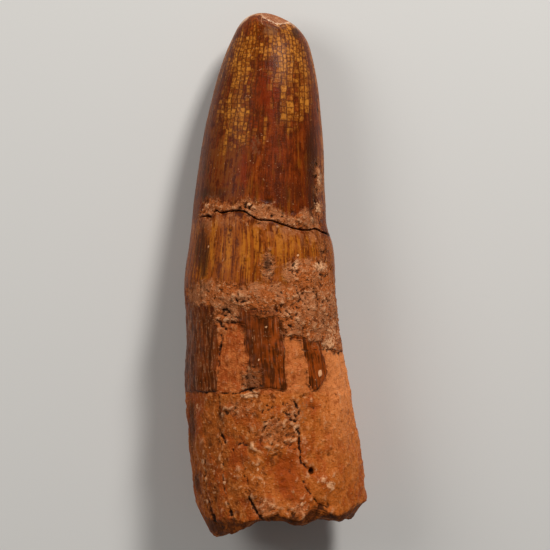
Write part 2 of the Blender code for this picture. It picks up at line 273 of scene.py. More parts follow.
# %% Enamel coat
ENAMEL = 0.42
PLATE_EDGE = 0.12
FRONT_COAT_END = [(-18.5, 61.0), (-9.0, 62.0), (3.5, 65.0), (9.5, 66.6), (12.0, 67.8), (18.5, 67.6)]
BACK_COAT_END = [(-18.5, 61.0), (-6.0, 66.0), (2.0, 68.0), (8.0, 64.0), (18.5, 65.5)]
FRONT_PANELS = [[(60.0, -19.5, -11.4), (66.0, -19.5, -11.4), (76.4, -19.5, -11.6)],
                [(60.0, -6.4, 0.9), (62.5, -6.0, 1.4), (66.5, -5.7, 1.9), (70.0, -5.3, 2.0),
                 (75.2, -5.4, 2.2)],
                [(64.5, 5.2, 8.9), (67.5, 5.7, 9.4), (70.5, 6.4, 10.2), (72.7, 6.8, 10.2),
                 (74.0, 7.0, 9.6), (75.4, 7.8, 8.4)]]
BACK_PANELS = [[(60.0, -19.5, -13.4), (68.0, -19.5, -12.6), (76.4, -19.5, -13.0)],
               [(60.0, -8.2, 3.2), (68.0, -8.6, 3.8), (76.4, -8.0, 3.4)],
               [(62.0, 7.4, 10.6), (70.0, 7.2, 11.0), (76.4, 7.8, 10.6)]]


def panel_room(x, down, rows):
    """Room inside a panel of enamel, which has a left and a right edge for each row."""
    places, left, right = np.array(rows).T
    across = np.minimum(x - curve(np.stack((places, left), axis=1), down),
                        curve(np.stack((places, right), axis=1), down) - x)
    return np.minimum(across, np.minimum(down - places[0], places[-1] - down))


def coat_room(x, down, coat_end, panels):
    """Room on the enamel, positive on it and negative on bare dentine."""
    room = curve(coat_end, x) - down
    for rows in panels:
        room = np.maximum(room, panel_room(x, down, rows))
    return np.minimum(room, ENAMEL_END - down)


# %% [markdown]
# ## Mounds and pits
#
# Old surfaces are full of small accidents: lumps of sandstone that stayed on, and pits
# where a grain fell out. A mound is a soft ellipse with a place, a half width, a half
# height and a rise, and a pit is the same with a negative rise. A list of numbers keeps
# them easy to move.

# %% Mounds and pits
MOUND_FALL, MOUND_POWER = 1.4, 1.5
FRONT_LUMPS = [(6.0, 52.5, 3.6, 2.8, 0.5), (8.8, 58.2, 3.2, 3.4, 0.55),
               (4.4, 60.6, 3.0, 2.6, 0.4), (-3.0, 57.0, 8.0, 1.8, 0.22),
               (-6.0, 38.9, 5.0, 1.3, 0.3), (5.0, 41.6, 3.6, 1.2, 0.3),
               (-1.3, 38.1, 1.2, 0.7, -0.22), (-6.3, 56.8, 1.5, 0.6, 0.3),
               (-10.2, 60.4, 1.5, 1.2, -0.5), (-0.8, 50.8, 1.3, 2.4, -0.3),
               (7.4, 62.6, 2.0, 1.2, 0.35), (1.2, 91.6, 3.6, 5.4, -1.0),
               (0.4, 84.0, 4.4, 2.2, -0.5), (-4.2, 86.6, 1.1, 1.2, 0.4),
               (7.4, 91.3, 0.65, 0.65, -1.3), (11.2, 93.8, 2.6, 3.4, 0.35),
               (12.4, 83.0, 2.2, 6.0, 0.3), (-8.0, 91.5, 2.0, 5.0, 0.35),
               (1.6, 79.6, 1.8, 1.6, 0.35), (-14.4, 84.0, 1.7, 7.0, 0.25),
               (9.0, 98.4, 2.4, 1.4, -0.6), (-13.5, 40.9, 0.55, 0.4, -0.7),
               (-5.2, 38.6, 0.6, 0.5, -0.25), (-5.2, 38.6, 0.3, 0.3, 0.5),
               (-0.6, 41.0, 0.35, 0.4, -0.6), (8.6, 39.2, 0.9, 1.6, 0.35),
               (8.7, 33.6, 0.6, 1.8, 0.3), (-9.8, 79.8, 0.5, 0.7, -0.5),
               (-8.8, 43.7, 0.4, 0.4, -0.25), (-5.6, 49.2, 0.5, 0.4, 0.3),
               (8.9, 72.2, 0.35, 0.7, 0.3), (9.4, 93.0, 1.4, 0.9, 0.3)]
BACK_LUMPS = [(-6.0, 52.0, 4.2, 3.0, 0.35), (3.0, 30.0, 2.4, 3.2, -0.3),
              (7.0, 47.5, 2.2, 2.6, 0.4), (-9.0, 70.0, 1.6, 1.6, -0.6),
              (10.0, 84.0, 2.6, 5.0, -0.7), (-7.0, 88.0, 3.0, 4.5, -0.6),
              (1.5, 95.0, 3.4, 3.2, 0.5), (13.0, 94.0, 2.0, 3.2, 0.4),
              (-12.0, 94.0, 1.4, 3.6, 0.4), (-2.0, 80.5, 3.4, 1.4, 0.3)]


def spot(x, down, lump):
    """A soft mound, 1 at its middle, that fades out at its half width and half height."""
    middle_x, middle_down, half_x, half_down = lump[:4]
    reach = ((x - middle_x) / half_x) ** 2 + ((down - middle_down) / half_down) ** 2
    return np.exp(-MOUND_FALL * reach ** MOUND_POWER)


print("mounds and pits:", len(FRONT_LUMPS) + len(BACK_LUMPS))

# %% [markdown]
# ## Cracks and pits
#
# A crack that runs down the root is a chain of short strokes. A stroke is a line with a
# half width and a rise, and its ends are round. Its depth comes and goes with the noise,
# because an old crack is partly filled and reads as a row of small pits. Single strokes
# make the pits, where a grain of the crust or a chip of the edge is gone.

# %% Cracks and pits of the front
def chain(half_width, rise, *points):
    """Strokes from each point to the next one."""
    return [(*start, *end, half_width, rise) for start, end in zip(points[:-1], points[1:])]


def ticks(half_width, rise, *rows):
    """Single strokes, each given by its start and its end."""
    return [(*row, half_width, rise) for row in rows]


ROOT_CRACKS = [
    *chain(0.19, -0.50, (4.4, 83.1), (5, 83.7), (5, 84.7), (5, 85.7)),
    *chain(0.18, -0.50, (5, 85.7), (5, 86.9), (5.2, 87.5), (5.2, 88.5), (5.4, 89.3), (6, 90.1),
           (6.5, 90.8)),
    *chain(0.18, -0.40, (5.6, 93.1), (6, 94.1), (6.6, 95.1), (7.2, 95.7), (8, 96.7), (8.6, 97.3)),
    *chain(0.14, -0.18, (8.6, 97.3), (9.4, 97.9), (10.8, 98.5)),
    *chain(0.14, -0.20, (-14.2, 88.5), (-14.3, 90.5), (-14.2, 92.5), (-14, 94.3), (-13.8, 95.9),
           (-13.4, 97.5), (-13.3, 98.9)),
    *chain(0.14, -0.20, (-10.8, 85.5), (-10.7, 88.5), (-10.6, 89.9), (-10.4, 91.3), (-10.6, 92.7),
           (-10.4, 94.3), (-10.2, 95.5), (-9.8, 96.9), (-9.4, 98.1), (-9.1, 99.3)),
    *chain(0.13, -0.16, (-11.4, 76.3), (-11.2, 78.7), (-11.2, 80.7), (-11.2, 83.5)),
    *chain(0.20, -0.50, (-11.2, 83.7), (-10.6, 84.7), (-10, 85.9)),
    *chain(0.18, -0.32, (-7.8, 86.5), (-7.2, 85.9), (-6.4, 86.1), (-5.8, 86.3)),
    *chain(0.13, -0.22, (-6, 90.7), (-5.6, 93.1), (-5.2, 94.7), (-5.2, 96.5)),
    *chain(0.24, -0.70, (-5.2, 96.7), (-4.6, 97.7), (-3.8, 99.3)),
    *chain(0.22, -0.50, (-3.8, 99.3), (-3, 100.3), (-2.4, 100.9)),
    *ticks(0.26, -0.70, (-12.8, 100.1, -12.3, 101.3)), *ticks(0.24, -0.60, (-9.1, 99.1, -8.9, 100.1)),
]
LEDGE_CRACKS = [
    *chain(0.18, -0.40, (-7.8, 57.3), (-7.4, 57.7), (-6.6, 57.9), (-5.8, 57.8), (-5.2, 57.5)),
    *chain(0.17, -0.36, (-7, 75.7), (-5.8, 75.3), (-4.4, 75.1), (-2.6, 74.6)),
    *chain(0.17, -0.36, (-15.8, 75.8), (-13.8, 75.9), (-12.6, 75.7), (-11.6, 75.6)),
    *ticks(0.16, -0.35, (-10.8, 76.1, -9.6, 76.1), (-8.6, 76.1, -7, 75.9)),
    *chain(0.20, -0.45, (-10.6, 59.5), (-9.8, 59.5), (-8.8, 60.3)),
    *chain(0.17, -0.35, (-11, 64.5), (-10.8, 65.3), (-11, 66.7), (-11.2, 68.3)),
    *chain(0.13, -0.08, (11.6, 74.5), (12.4, 76.9), (13.2, 79.5)),
    *chain(0.15, -0.15, (5.4, 67.5), (7.4, 67.5), (11, 67.5)),
    *chain(0.22, -0.35, (-5.8, 38.1), (-5.8, 39.1), (-5, 39.4), (-4.5, 38.7)),
]
SMALL_PITS = [
    *ticks(0.20, -0.50, (3.8, 77.5, 4.2, 78.2), (4.4, 78.4, 4.4, 78.8), (3.8, 80.1, 4.2, 80.7),
           (1.7, 79.6, 2.8, 80.4), (-8, 61, -7, 61.4), (-8.8, 61.9, -7.8, 62.1),
           (-11, 62.7, -9.8, 63.3), (2.6, 62.5, 3.4, 63.1)),
    *ticks(0.18, -0.42, (4.8, 79.5, 4.8, 80.2)), *ticks(0.20, -0.55, (3.1, 81.3, 4.2, 81.6)),
    *ticks(0.20, -0.40, (-10.8, 60.5, -10.2, 60.7), (-11.6, 61.5, -10.8, 62.3), (8.6, 52.5, 10.2, 52.9)),
    *ticks(0.18, -0.32, (-5, 59.3, -3.6, 59.5), (-2.6, 59.7, -1.4, 59.9), (0, 59.4, 1.2, 59.9),
           (4.3, 55.7, 4.9, 56.9), (4.8, 57.3, 5.6, 58.3), (7.4, 55.9, 8.2, 56.7),
           (8.2, 57.5, 9.4, 58.1), (9.8, 57.1, 10.6, 57.9), (2.2, 59.7, 3, 60.5),
           (3, 61.1, 4.2, 61.9)),
    *ticks(0.18, -0.30, (3, 51.7, 4.6, 52.1), (-1.8, 51.1, -0.8, 51.7)),
    *ticks(0.18, -0.26, (-2.6, 52.7, -1, 53.3)), *ticks(0.20, -0.14, (8.5, 19.1, 8.7, 20.5)),
    *ticks(0.17, -0.34, (8.2, 30.2, 8.4, 30.9)), *ticks(0.16, -0.30, (7.9, 35.2, 8.3, 35.8)),
    *ticks(0.18, -0.34, (8.4, 32.6, 8.1, 33.2), (7.8, 37.7, 8.0, 38.5)),
]
print("strokes cut into the front:", len(ROOT_CRACKS + LEDGE_CRACKS + SMALL_PITS))

# %% [markdown]
# ## Ridges and scratches
#
# A stroke with a positive rise stands out. The thin curved ridges are flakes of shell and
# edges of chips, the beads beside the root cracks are crumbs of their filling, and the
# lowest ones on the crown are scratches. A few short ones stand where the surface glints.
# The paint later lays pale colour along all of them, which is a painted highlight on the
# scratches and on those few.

# %% Ridges and scratches of the front
RIDGES = [
    *chain(0.24, 0.34, (-4.8, 85.7), (-4.6, 86.5), (-4, 87), (-3.2, 87.4), (-2.4, 87.6)),
    *chain(0.20, 0.30, (-5.2, 89.3), (-4.4, 89.8), (-3.6, 90.1)),
    *chain(0.17, 0.20, (-8.8, 91.7), (-8, 92.3), (-7.2, 92.9)),
    *chain(0.18, 0.25, (-4.6, 92.9), (-4, 92.3), (-3.2, 92.3), (-2.6, 92.7), (-2.2, 93.7)),
    *chain(0.20, 0.35, (-1, 87.9), (-0.2, 87.7), (0.4, 87.3)),
    *chain(0.18, 0.30, (-2.4, 38.7), (-1, 38.8), (0, 38.1)),
    *chain(0.18, 0.32, (-6.8, 76.2), (-5.6, 76.1), (-4.4, 75.7), (-3.2, 75.8)),
    *chain(0.20, 0.25, (-7.8, 58.4), (-6.4, 58.5), (-5, 58)),
    *chain(0.28, 0.20, (-2.2, 96.9), (-0.6, 98.1), (1.8, 98.7)),
    *chain(0.16, 0.22, (3.6, 74.7), (4.6, 74.5), (5.6, 74.9)),
    *chain(0.30, 0.30, (5, 98.7), (5.6, 100.1), (5.4, 101.3)),
    *chain(0.24, 0.25, (-5.0, 0.7), (-4.2, 0.45), (-3.2, 0.25), (-2.6, 0.2)),
    *chain(0.14, 0.18, (-2.2, 1.2), (-1.4, 1.4), (0, 2.2), (1.2, 2.7), (2.4, 2.4)),
    *ticks(0.28, 0.40, (3.8, 82.3, 4.8, 82.5)), *ticks(0.20, 0.40, (4.2, 83.3, 4.8, 84.1)),
    *ticks(0.16, 0.26, (-6, 76.7, -4.6, 76.5)), *ticks(0.16, 0.20, (5.8, 76.9, 6.6, 76.9)),
    *ticks(0.16, 0.15, (12.4, 75.3, 13.2, 78.1)), *ticks(0.14, 0.10, (-4.5, 64.1, -4.2, 66.1)),
]
BEADS = [
    *ticks(0.17, 0.20, (-6.8, 94.3, -5.8, 94.7), (-5.6, 96.1, -5, 96.5)),
    *ticks(0.20, 0.20, (-12.4, 95.5, -11.4, 95.8)), *ticks(0.18, 0.25, (-14, 94.7, -13.4, 95)),
    *ticks(0.20, 0.30, (2.2, 85.7, 3.2, 84.9), (-14.4, 90.7, -14.2, 91.5), (-10.3, 95.3, -10, 95.7)),
    *ticks(0.18, 0.30, (3.4, 85.5, 4.4, 84.7), (-13.9, 92.8, -13.7, 93.6), (-13.3, 96.3, -13.1, 97.1),
           (-10.8, 90.1, -10.6, 90.8)),
    *ticks(0.20, 0.32, (-14.3, 87.4, -14.4, 88.2), (-11.0, 88.3, -11.1, 89.2), (-9.8, 97.3, -9.5, 98.2)),
    *ticks(0.22, 0.35, (-10.6, 92.1, -10.4, 92.9)),
    *ticks(0.16, 0.30, (8.5, 31.5, 8.7, 32.1), (8.3, 34.3, 8.6, 34.9)),
    *ticks(0.17, 0.30, (8.2, 36.4, 8.4, 37.2), (8.4, 39.2, 8.8, 39.9)),
]
SCRATCHES = [
    *chain(0.13, 0.12, (-2.6, 0.4), (-2.7, 1.6), (-2.5, 2.6)),
    *chain(0.13, 0.08, (-3.4, 11.9), (-2.6, 11.6), (-1.6, 11.5), (-0.8, 11.7)),
    *chain(0.13, 0.10, (-6.4, 16.6), (-6.0, 17.4), (-5.4, 16.8), (-4.9, 17.4)),
    *chain(0.13, 0.08, (-2.9, 20.9), (-1.9, 20.9), (-0.9, 21.3)),
    *chain(0.13, 0.08, (-4.2, 24.6), (-3.4, 25.4), (-2.6, 24.9)),
    *chain(0.13, 0.07, (-1.8, 26.1), (-0.9, 26.6), (-0.2, 26.4)),
    *chain(0.13, 0.08, (-5.6, 30.2), (-4.7, 30.0), (-4.0, 30.6)),
    *chain(0.13, 0.07, (0.4, 31.4), (1.1, 31.0), (1.9, 31.3)),
    *ticks(0.12, 0.07, (-2.4, 33.6, -1.9, 34.6), (-4.8, 34.8, -3.9, 35.2)),
]
print("strokes raised on the front:", len(RIDGES + BEADS + SCRATCHES))

# %% [markdown]
# ## Crumbs
#
# Small pits and grains are too many to place one by one, so they fall at random inside a
# box. Each row of a table says how many, the two corners of the box, about which way the
# strokes run, and their rise. The seed is fixed, so the tooth is the same each time.

# %% Crumbs, and the strokes of both faces
CRUMB_SEED = 11
CRUMB_WIDTHS = (0.15, 0.24)
SHORTEST_CRUMB, LOWEST_CRUMB = 0.3, 0.4
FRONT_CRUMBS = [
    (26, (3.0, 50.6), (12.0, 65.0), (0.7, 0.5), -0.3),
    (26, (2.0, 50.0), (12.0, 66.0), (0.5, 0.4), 0.34),
    (20, (-14.0, 54.5), (3.0, 60.0), (0.6, 0.3), -0.3),
    (18, (-14.0, 54.5), (3.0, 60.0), (0.5, 0.3), 0.3),
    (22, (-3.0, 77.5), (4.6, 87.0), (0.8, -0.6), -0.32),
    (24, (-3.0, 77.5), (4.8, 87.6), (0.7, -0.5), 0.32),
    (9, (-7.0, 70.5), (-2.6, 75.6), (0.5, 0.3), -0.32),
    (12, (-7.0, 70.0), (-2.6, 76.6), (0.4, 0.3), 0.32),
    (18, (-15.0, 38.4), (9.0, 43.4), (0.5, 0.2), -0.3),
    (20, (-15.0, 38.4), (9.0, 43.4), (0.4, 0.2), 0.3),
    (20, (-16.0, 77.0), (-5.0, 100.0), (0.2, 0.7), -0.25),
    (24, (-16.0, 77.0), (8.0, 100.0), (0.5, 0.3), 0.25),
]
BACK_CRUMBS = [
    (40, (-13.0, 50.0), (13.0, 66.0), (0.7, 0.5), -0.36),
    (40, (-13.0, 50.0), (13.0, 66.0), (0.5, 0.4), 0.34),
    (36, (-13.0, 77.0), (13.0, 98.0), (0.6, 0.8), -0.32),
    (40, (-13.0, 77.0), (13.0, 98.0), (0.6, 0.4), 0.3),
]
BACK_CRACKS = [
    *chain(0.25, -0.60, (-9.5, 77.0), (-8.8, 86.0), (-9.2, 94.0), (-8.0, 101.0)),
    *chain(0.25, -0.55, (5.0, 79.0), (6.2, 88.0), (5.4, 94.0), (6.8, 101.0)),
    *chain(0.22, -0.45, (12.0, 82.0), (13.4, 91.0), (12.8, 99.0)),
]

chance = np.random.default_rng(CRUMB_SEED)


def scattered(count, low, high):
    """Random rows of numbers between the rows low and high."""
    low, high = np.array(low), np.array(high)
    return [tuple(row) for row in low + chance.random((count, len(low))) * (high - low)]


def crumbs(rows):
    """Short strokes at random places in each row's box, all along about the same way."""
    strokes = []
    for count, low, high, (run_x, run_down), rise in rows:
        shortest = (SHORTEST_CRUMB * run_x, SHORTEST_CRUMB * run_down)
        low_row = (*low, *shortest, CRUMB_WIDTHS[0], LOWEST_CRUMB * rise)
        high_row = (*high, run_x, run_down, CRUMB_WIDTHS[1], rise)
        for a, b, along_x, along_down, half_width, height in scattered(count, low_row, high_row):
            strokes.append((a, b, a + along_x, b + along_down, half_width, height))
    return strokes


FRONT_STROKES = [*ROOT_CRACKS, *LEDGE_CRACKS, *SMALL_PITS, *RIDGES, *BEADS, *SCRATCHES]
FRONT_STROKES += crumbs(FRONT_CRUMBS)
BACK_STROKES = BACK_CRACKS + crumbs(BACK_CRUMBS)


def stroke_gap(x, down, stroke):
    """Distance to a short line, as a share of its half width."""
    start_x, start_down, end_x, end_down, half_width = stroke[:5]
    run_x, run_down = end_x - start_x, end_down - start_down
    share = (x - start_x) * run_x + (down - start_down) * run_down
    share = np.clip(share / (run_x ** 2 + run_down ** 2), 0.0, 1.0)
    return np.hypot(x - start_x - share * run_x, down - start_down - share * run_down) / half_width


print("strokes:", len(FRONT_STROKES) + len(BACK_STROKES))

# %% [markdown]
# ## Patches of crust, and clusters of pits
#
# Sandstone clings to the tooth in patches: a band above the crack, a wide lumpy patch at
# the right below it, and flecks around the windows. A patch is a union of ellipses, and
# again the room to its edge is kept for the paint. Clusters are smaller places
# where the surface is broken into close pits. The front and the back have their own
# patches, and at the flanks the numbers of one ease into those of the other.

# %% Crust and clusters
FRONT_CRUST = [(6.5, 52.4, 5.0, 3.0), (9.5, 57.0, 4.2, 5.4), (4.4, 59.8, 4.0, 3.6),
               (8.0, 63.6, 3.0, 2.2), (-2.0, 56.8, 9.0, 2.6), (-12.0, 56.4, 6.0, 2.6),
               (-1.3, 51.0, 1.4, 2.6), (-10.0, 60.3, 2.6, 2.2), (12.0, 64.4, 2.8, 3.6),
               (3.0, 62.6, 1.6, 2.4), (8.4, 40.2, 1.3, 1.7), (8.8, 35.2, 0.9, 1.4),
               (8.4, 31.8, 0.9, 1.8)]
BACK_CRUST = [(-6.0, 52.0, 5.0, 3.4), (6.0, 47.0, 3.0, 3.0), (0.0, 59.0, 12.0, 2.4),
              (11.0, 62.0, 3.4, 4.0), (-12.5, 64.0, 2.4, 3.0), (-9.0, 33.0, 2.0, 2.6)]
MATRIX_TOP = [(-15.4, 41.2), (-14.2, 38.6), (-9.0, 38.5), (-5.6, 37.7), (-2.6, 38.6),
              (0.4, 39.6), (3.4, 41.2), (6.2, 39.6), (8.2, 41.7), (10.8, 43.4)]
MATRIX_ENDS, MATRIX_FADE, NO_MATRIX = (-14.4, 8.4), 1.0, -3.0
FLANK_EASE = 0.2
FRONT_CLUSTERS = [(-4.8, 73.2, 2.4, 2.8), (0.6, 83.8, 4.8, 2.6), (3.6, 80.4, 1.7, 3.4),
                  (-6.5, 79.0, 3.6, 1.6), (-2.0, 98.6, 3.0, 2.0), (4.6, 99.0, 2.4, 1.8),
                  (-9.6, 60.6, 2.0, 1.6), (-10.8, 62.8, 1.0, 1.6), (-1.4, 50.8, 1.3, 2.6),
                  (4.0, 51.2, 1.2, 1.5), (9.2, 51.2, 2.0, 1.4), (4.8, 56.6, 1.1, 1.6),
                  (5.8, 58.3, 1.6, 1.4), (9.0, 57.5, 2.1, 2.0), (3.3, 61.1, 1.5, 1.8),
                  (9.8, 47.5, 1.0, 3.0), (-2.4, 60.2, 2.2, 0.9), (-13.6, 39.2, 1.2, 1.4)]
BACK_CLUSTERS = [(-6.0, 79.5, 5.0, 2.6), (4.0, 90.0, 3.0, 4.0), (-12.0, 86.0, 2.0, 4.0),
                 (7.0, 60.0, 3.0, 2.0), (-5.0, 55.0, 2.4, 1.6)]


def patch_room(x, down, patches):
    """Room inside a union of ellipses, in millimetres, negative outside."""
    rooms = []
    for middle_x, middle_down, half_x, half_down in patches:
        reach = np.hypot((x - middle_x) / half_x, (down - middle_down) / half_down)
        rooms.append((1.0 - reach) * min(half_x, half_down))
    return np.max(rooms, axis=0)


def joined(ahead, behind):
    """The front's numbers on the front and the back's behind, eased together at the flanks."""
    return behind + (ahead - behind) * smoothstep(-FLANK_EASE, FLANK_EASE, over)


def on_face(ahead, behind):
    """Room in patches of the front on the front, and of the back on the back."""
    return joined(patch_room(x, down, ahead), patch_room(x, down, behind))


matrix_room = np.minimum(down - curve(MATRIX_TOP, x), crack_line - down)
matrix_ends_room = np.minimum(x - MATRIX_ENDS[0], MATRIX_ENDS[1] - x) + MATRIX_FADE
matrix_room = joined(np.minimum(matrix_room, matrix_ends_room), NO_MATRIX)
crust_room = np.maximum(on_face(FRONT_CRUST, BACK_CRUST), matrix_room)
cluster_room = on_face(FRONT_CLUSTERS, BACK_CLUSTERS)
print("crusted share of the skin:", (crust_room > 0.0).mean().round(3))

# %% [markdown]
# ## Relief
#
# Each kind of surface has its own grain. Enamel is smooth, the root is fibrous with low
# steps, crust is made of small pebbles, and clusters are pitted. Pebbles and pits come
# from Voronoi cells: the distance to the nearest scattered point is a round lump or a
# round hole, and one random number for each cell says which of them are deep.

# %% Grain of each surface
RAGGED_SIZE, RAGGED_RISE = 2.6, 0.3
NIBBLE_SIZE, NIBBLE_RISE = 0.6, 0.12
SWELL_SIZE, SWELL_RISE = 9.0, 0.22
GRIT_SIZE, GRIT_RISE = 1.9, 0.2
GRAIN_SIZE, GRAIN_RISE = 0.8, 0.22
FIBRE_SIZE, FIBRE_RISE = (1.0, 5.0, 1.0), 0.09
STEP_SIZE, STEP_RISE = (3.0, 4.5, 3.0), 0.16
PEBBLE_SIZE, PEBBLE_RISE, PEBBLE_EDGES, PEBBLE_LEAST = 1.05, 0.30, (0.1, 0.65), 0.6
SLANT, PIT_SIZE, PIT_DEPTH = np.radians(35.0), (1.45, 0.75, 1.2), 0.42
PIT_EDGES, PIT_CHOICE = (0.12, 0.48), (-0.22, 0.06)
SCALE_SIZE, SCALE_RISE = (1.5, 0.5, 1.2), 0.3
WARP_SIZE, WARP_REACH, WARP_SHIFT = 0.9, 0.35, 7.0
STEP_EDGE = 0.12
NUMBER_STRETCH = 9.7


def cells(places, size):
    """Distance to the nearest scattered point, as a share of size, and its own number."""
    found = [noise.voronoi(place) for place in places.reshape(-1, 3) / size]
    near = np.array([distances[0] for distances, _ in found]).reshape(places.shape[:-1])
    number = np.array([noise.noise(points[0] * NUMBER_STRETCH) for _, points in found])
    return near, number.reshape(near.shape)


places = np.stack((x, down, z), axis=-1)
ragged = RAGGED_RISE * uneven(places, RAGGED_SIZE, 2)
nibble = ragged + NIBBLE_RISE * uneven(places, NIBBLE_SIZE, 2)
grit = uneven(places, GRIT_SIZE, 2)
grain = uneven(places, GRAIN_SIZE, 2)
warp = [uneven(places + WARP_SHIFT * k, WARP_SIZE, 1) for k in range(3)]
warped = places + WARP_REACH * np.stack(warp, axis=-1)
lengthwise = warped[..., 0] * np.cos(SLANT) - warped[..., 1] * np.sin(SLANT)
crosswise = warped[..., 0] * np.sin(SLANT) + warped[..., 1] * np.cos(SLANT)
slanted = np.stack((lengthwise, crosswise, z), axis=-1)
pebble_gap, pebble_number = cells(warped, PEBBLE_SIZE)
pit_gap, pit_number = cells(slanted, PIT_SIZE)
scales = uneven(slanted, SCALE_SIZE, 2)
pebbles = (1.0 - smoothstep(*PEBBLE_EDGES, pebble_gap)) * (PEBBLE_LEAST + pebble_number)
pits = (1.0 - smoothstep(*PIT_EDGES, pit_gap)) * smoothstep(*PIT_CHOICE, pit_number)
steps = smoothstep(0.0, STEP_EDGE, uneven(places, STEP_SIZE, 3))
print("pebbles up to", pebbles.max().round(2), "pits up to", pits.max().round(2))

# %% [markdown]
# ## Relief of the front and the back
#
# Enamel stands above the dentine by its own thickness. Mounds and strokes add to that,
# and the crack is a narrow groove. One function makes both faces from their own lists,
# because the two differ only in their numbers. The relief fades out at the very edge,
# which keeps the outline as it was measured.

# %% Relief of both faces
CRACK_WIDTH, CRACK_DEPTH, CRACK_START, CRACK_WANDER = 0.15, 0.8, (-15.4, -13.6), 0.5
RIDGE_SHARE, STROKE_WANDER = 0.65, 0.6
REACH_PER_RISE, NO_STROKE = 1.5, 4.0
BEAD_LEAST, BEAD_EDGES = 0.6, (-0.3, 0.2)
OUTLINE_BAND = 0.3


def face_relief(coat_end, panels, crack, lumps, strokes):
    """How far one face stands out, its coat room, and its gaps to the cracks and ridges."""
    room = coat_room(x, down, coat_end, panels) + nibble
    split = down + CRACK_WANDER * nibble - curve(crack, x)
    relief = ENAMEL * (smoothstep(-PLATE_EDGE, PLATE_EDGE, room) - 1.0)
    relief += sum(lump[4] * spot(x, down, lump) for lump in lumps)
    beads = BEAD_LEAST + (1.0 - BEAD_LEAST) * smoothstep(*BEAD_EDGES, grain)
    wander_x, wander_down = x + STROKE_WANDER * nibble, down - STROKE_WANDER * nibble
    nearest = {True: np.full(x.shape, NO_STROKE), False: np.full(x.shape, NO_STROKE)}
    for stroke in strokes:
        gap, raised = stroke_gap(wander_x, wander_down, stroke), stroke[5] > 0.0
        relief += beads * stroke[5] * (RIDGE_SHARE if raised else 1.0) * np.exp(-gap ** 2)
        nearest[raised] = np.minimum(nearest[raised], gap - REACH_PER_RISE * abs(stroke[5]))
    return relief, room, split, nearest[False], nearest[True]


faces = [face_relief(FRONT_COAT_END, FRONT_PANELS, FRONT_CRACK, FRONT_LUMPS, FRONT_STROKES),
         face_relief(BACK_COAT_END, BACK_PANELS, BACK_CRACK, BACK_LUMPS, BACK_STROKES)]
rise, coat, split, cracks, ridges = (joined(ahead, behind) for ahead, behind in zip(*faces))
opening = np.where(front, smoothstep(*CRACK_START, x), 1.0)
rise -= CRACK_DEPTH * opening * np.exp(-(split / CRACK_WIDTH) ** 2)
rise *= smoothstep(0.0, OUTLINE_BAND, np.abs(over))
print("deepest cut:", rise.min().round(2), "mm, highest mound:", rise.max().round(2), "mm")

# %% [markdown]
# ## Each grain in its own place
#
# The grains are mixed by masks: a share of 0 to 1 for crust, clusters and bare root. The
# belly is kept calm around the spot that the tooth rests on, a low keel runs down both
# edges of the crown, and the relief ends at the tip and inside the broken end.

# %% Relief of each surface
ROUGH_ZONE = (44.0, 60.0)
BARE_EDGE, CRUST_EDGE, CLUSTER_EDGE, EDGE_WANDER = 0.3, 0.5, 0.6, 2.0
SWELL_ON_CROWN, GRAIN_ON_DENTINE, PEBBLE_SINK = 0.4, 0.5, 0.1
PITS_ON_CRUST, PITS_ON_DENTINE = 0.35, 0.15
CALM_START, CALM_END, CALM_SIDE, BELLY_CALM = (34.0, 42.0), (78.0, 84.0), (0.8, 0.97), 0.85
KEEL_RISE, KEEL_SPREAD, KEEL_START, KEEL_END = 0.3, 0.16, (2.0, 8.0), (36.0, 44.0)
TIP_FADE = (0.3, 2.0)

rough = smoothstep(*ROUGH_ZONE, down)
bare = rough * (1.0 - smoothstep(-BARE_EDGE, BARE_EDGE, coat))
crusted = smoothstep(-CRUST_EDGE, CRUST_EDGE, crust_room + EDGE_WANDER * ragged)
clustered = smoothstep(-CLUSTER_EDGE, CLUSTER_EDGE, cluster_room + EDGE_WANDER * ragged)
swell = SWELL_ON_CROWN + (1.0 - SWELL_ON_CROWN) * rough
rise += SWELL_RISE * uneven(places, SWELL_SIZE, 2) * swell
rise += GRIT_RISE * grit * rough
rise += GRAIN_RISE * grain * np.maximum(clustered, GRAIN_ON_DENTINE * bare)
rise += crusted * (PEBBLE_RISE * pebbles - PEBBLE_SINK)
rise += SCALE_RISE * scales * clustered
pitted = np.maximum(clustered * crusted, PITS_ON_CRUST * crusted + PITS_ON_DENTINE * bare)
rise -= PIT_DEPTH * pits * pitted
fibres = FIBRE_RISE * uneven(places, FIBRE_SIZE, 3) + STEP_RISE * (steps - 0.5)
rise += bare * (1.0 - crusted) * fibres
calm = smoothstep(*CALM_START, down) * (1.0 - smoothstep(*CALM_END, down))
rise *= 1.0 - BELLY_CALM * calm * smoothstep(*CALM_SIDE, -over)
keel = np.exp(-(over / KEEL_SPREAD) ** 2) * (1.0 - smoothstep(*KEEL_END, down))
rise += KEEL_RISE * keel * smoothstep(*KEEL_START, down)
rise *= smoothstep(*TIP_FADE, down) * smoothstep(BEVEL_EDGE, 1.0, inward)
print("relief from", rise.min().round(2), "to", rise.max().round(2), "mm")

# %% [markdown]
# ## From table to mesh
#
# Each point moves out by its rise, square to its ring. The tip is rubbed down to a flat
# facet, as on teeth that were used, and the belly is flat where it rests on the bench.

# %% Points of the skin
WEAR_NORMAL = np.array((0.20, 0.84, 0.50))
WEAR_NORMAL = WEAR_NORMAL / np.linalg.norm(WEAR_NORMAL)
WEAR_CUT = 0.7
SPOT_DEPTH = 0.4
LEAST_HALF = 0.5

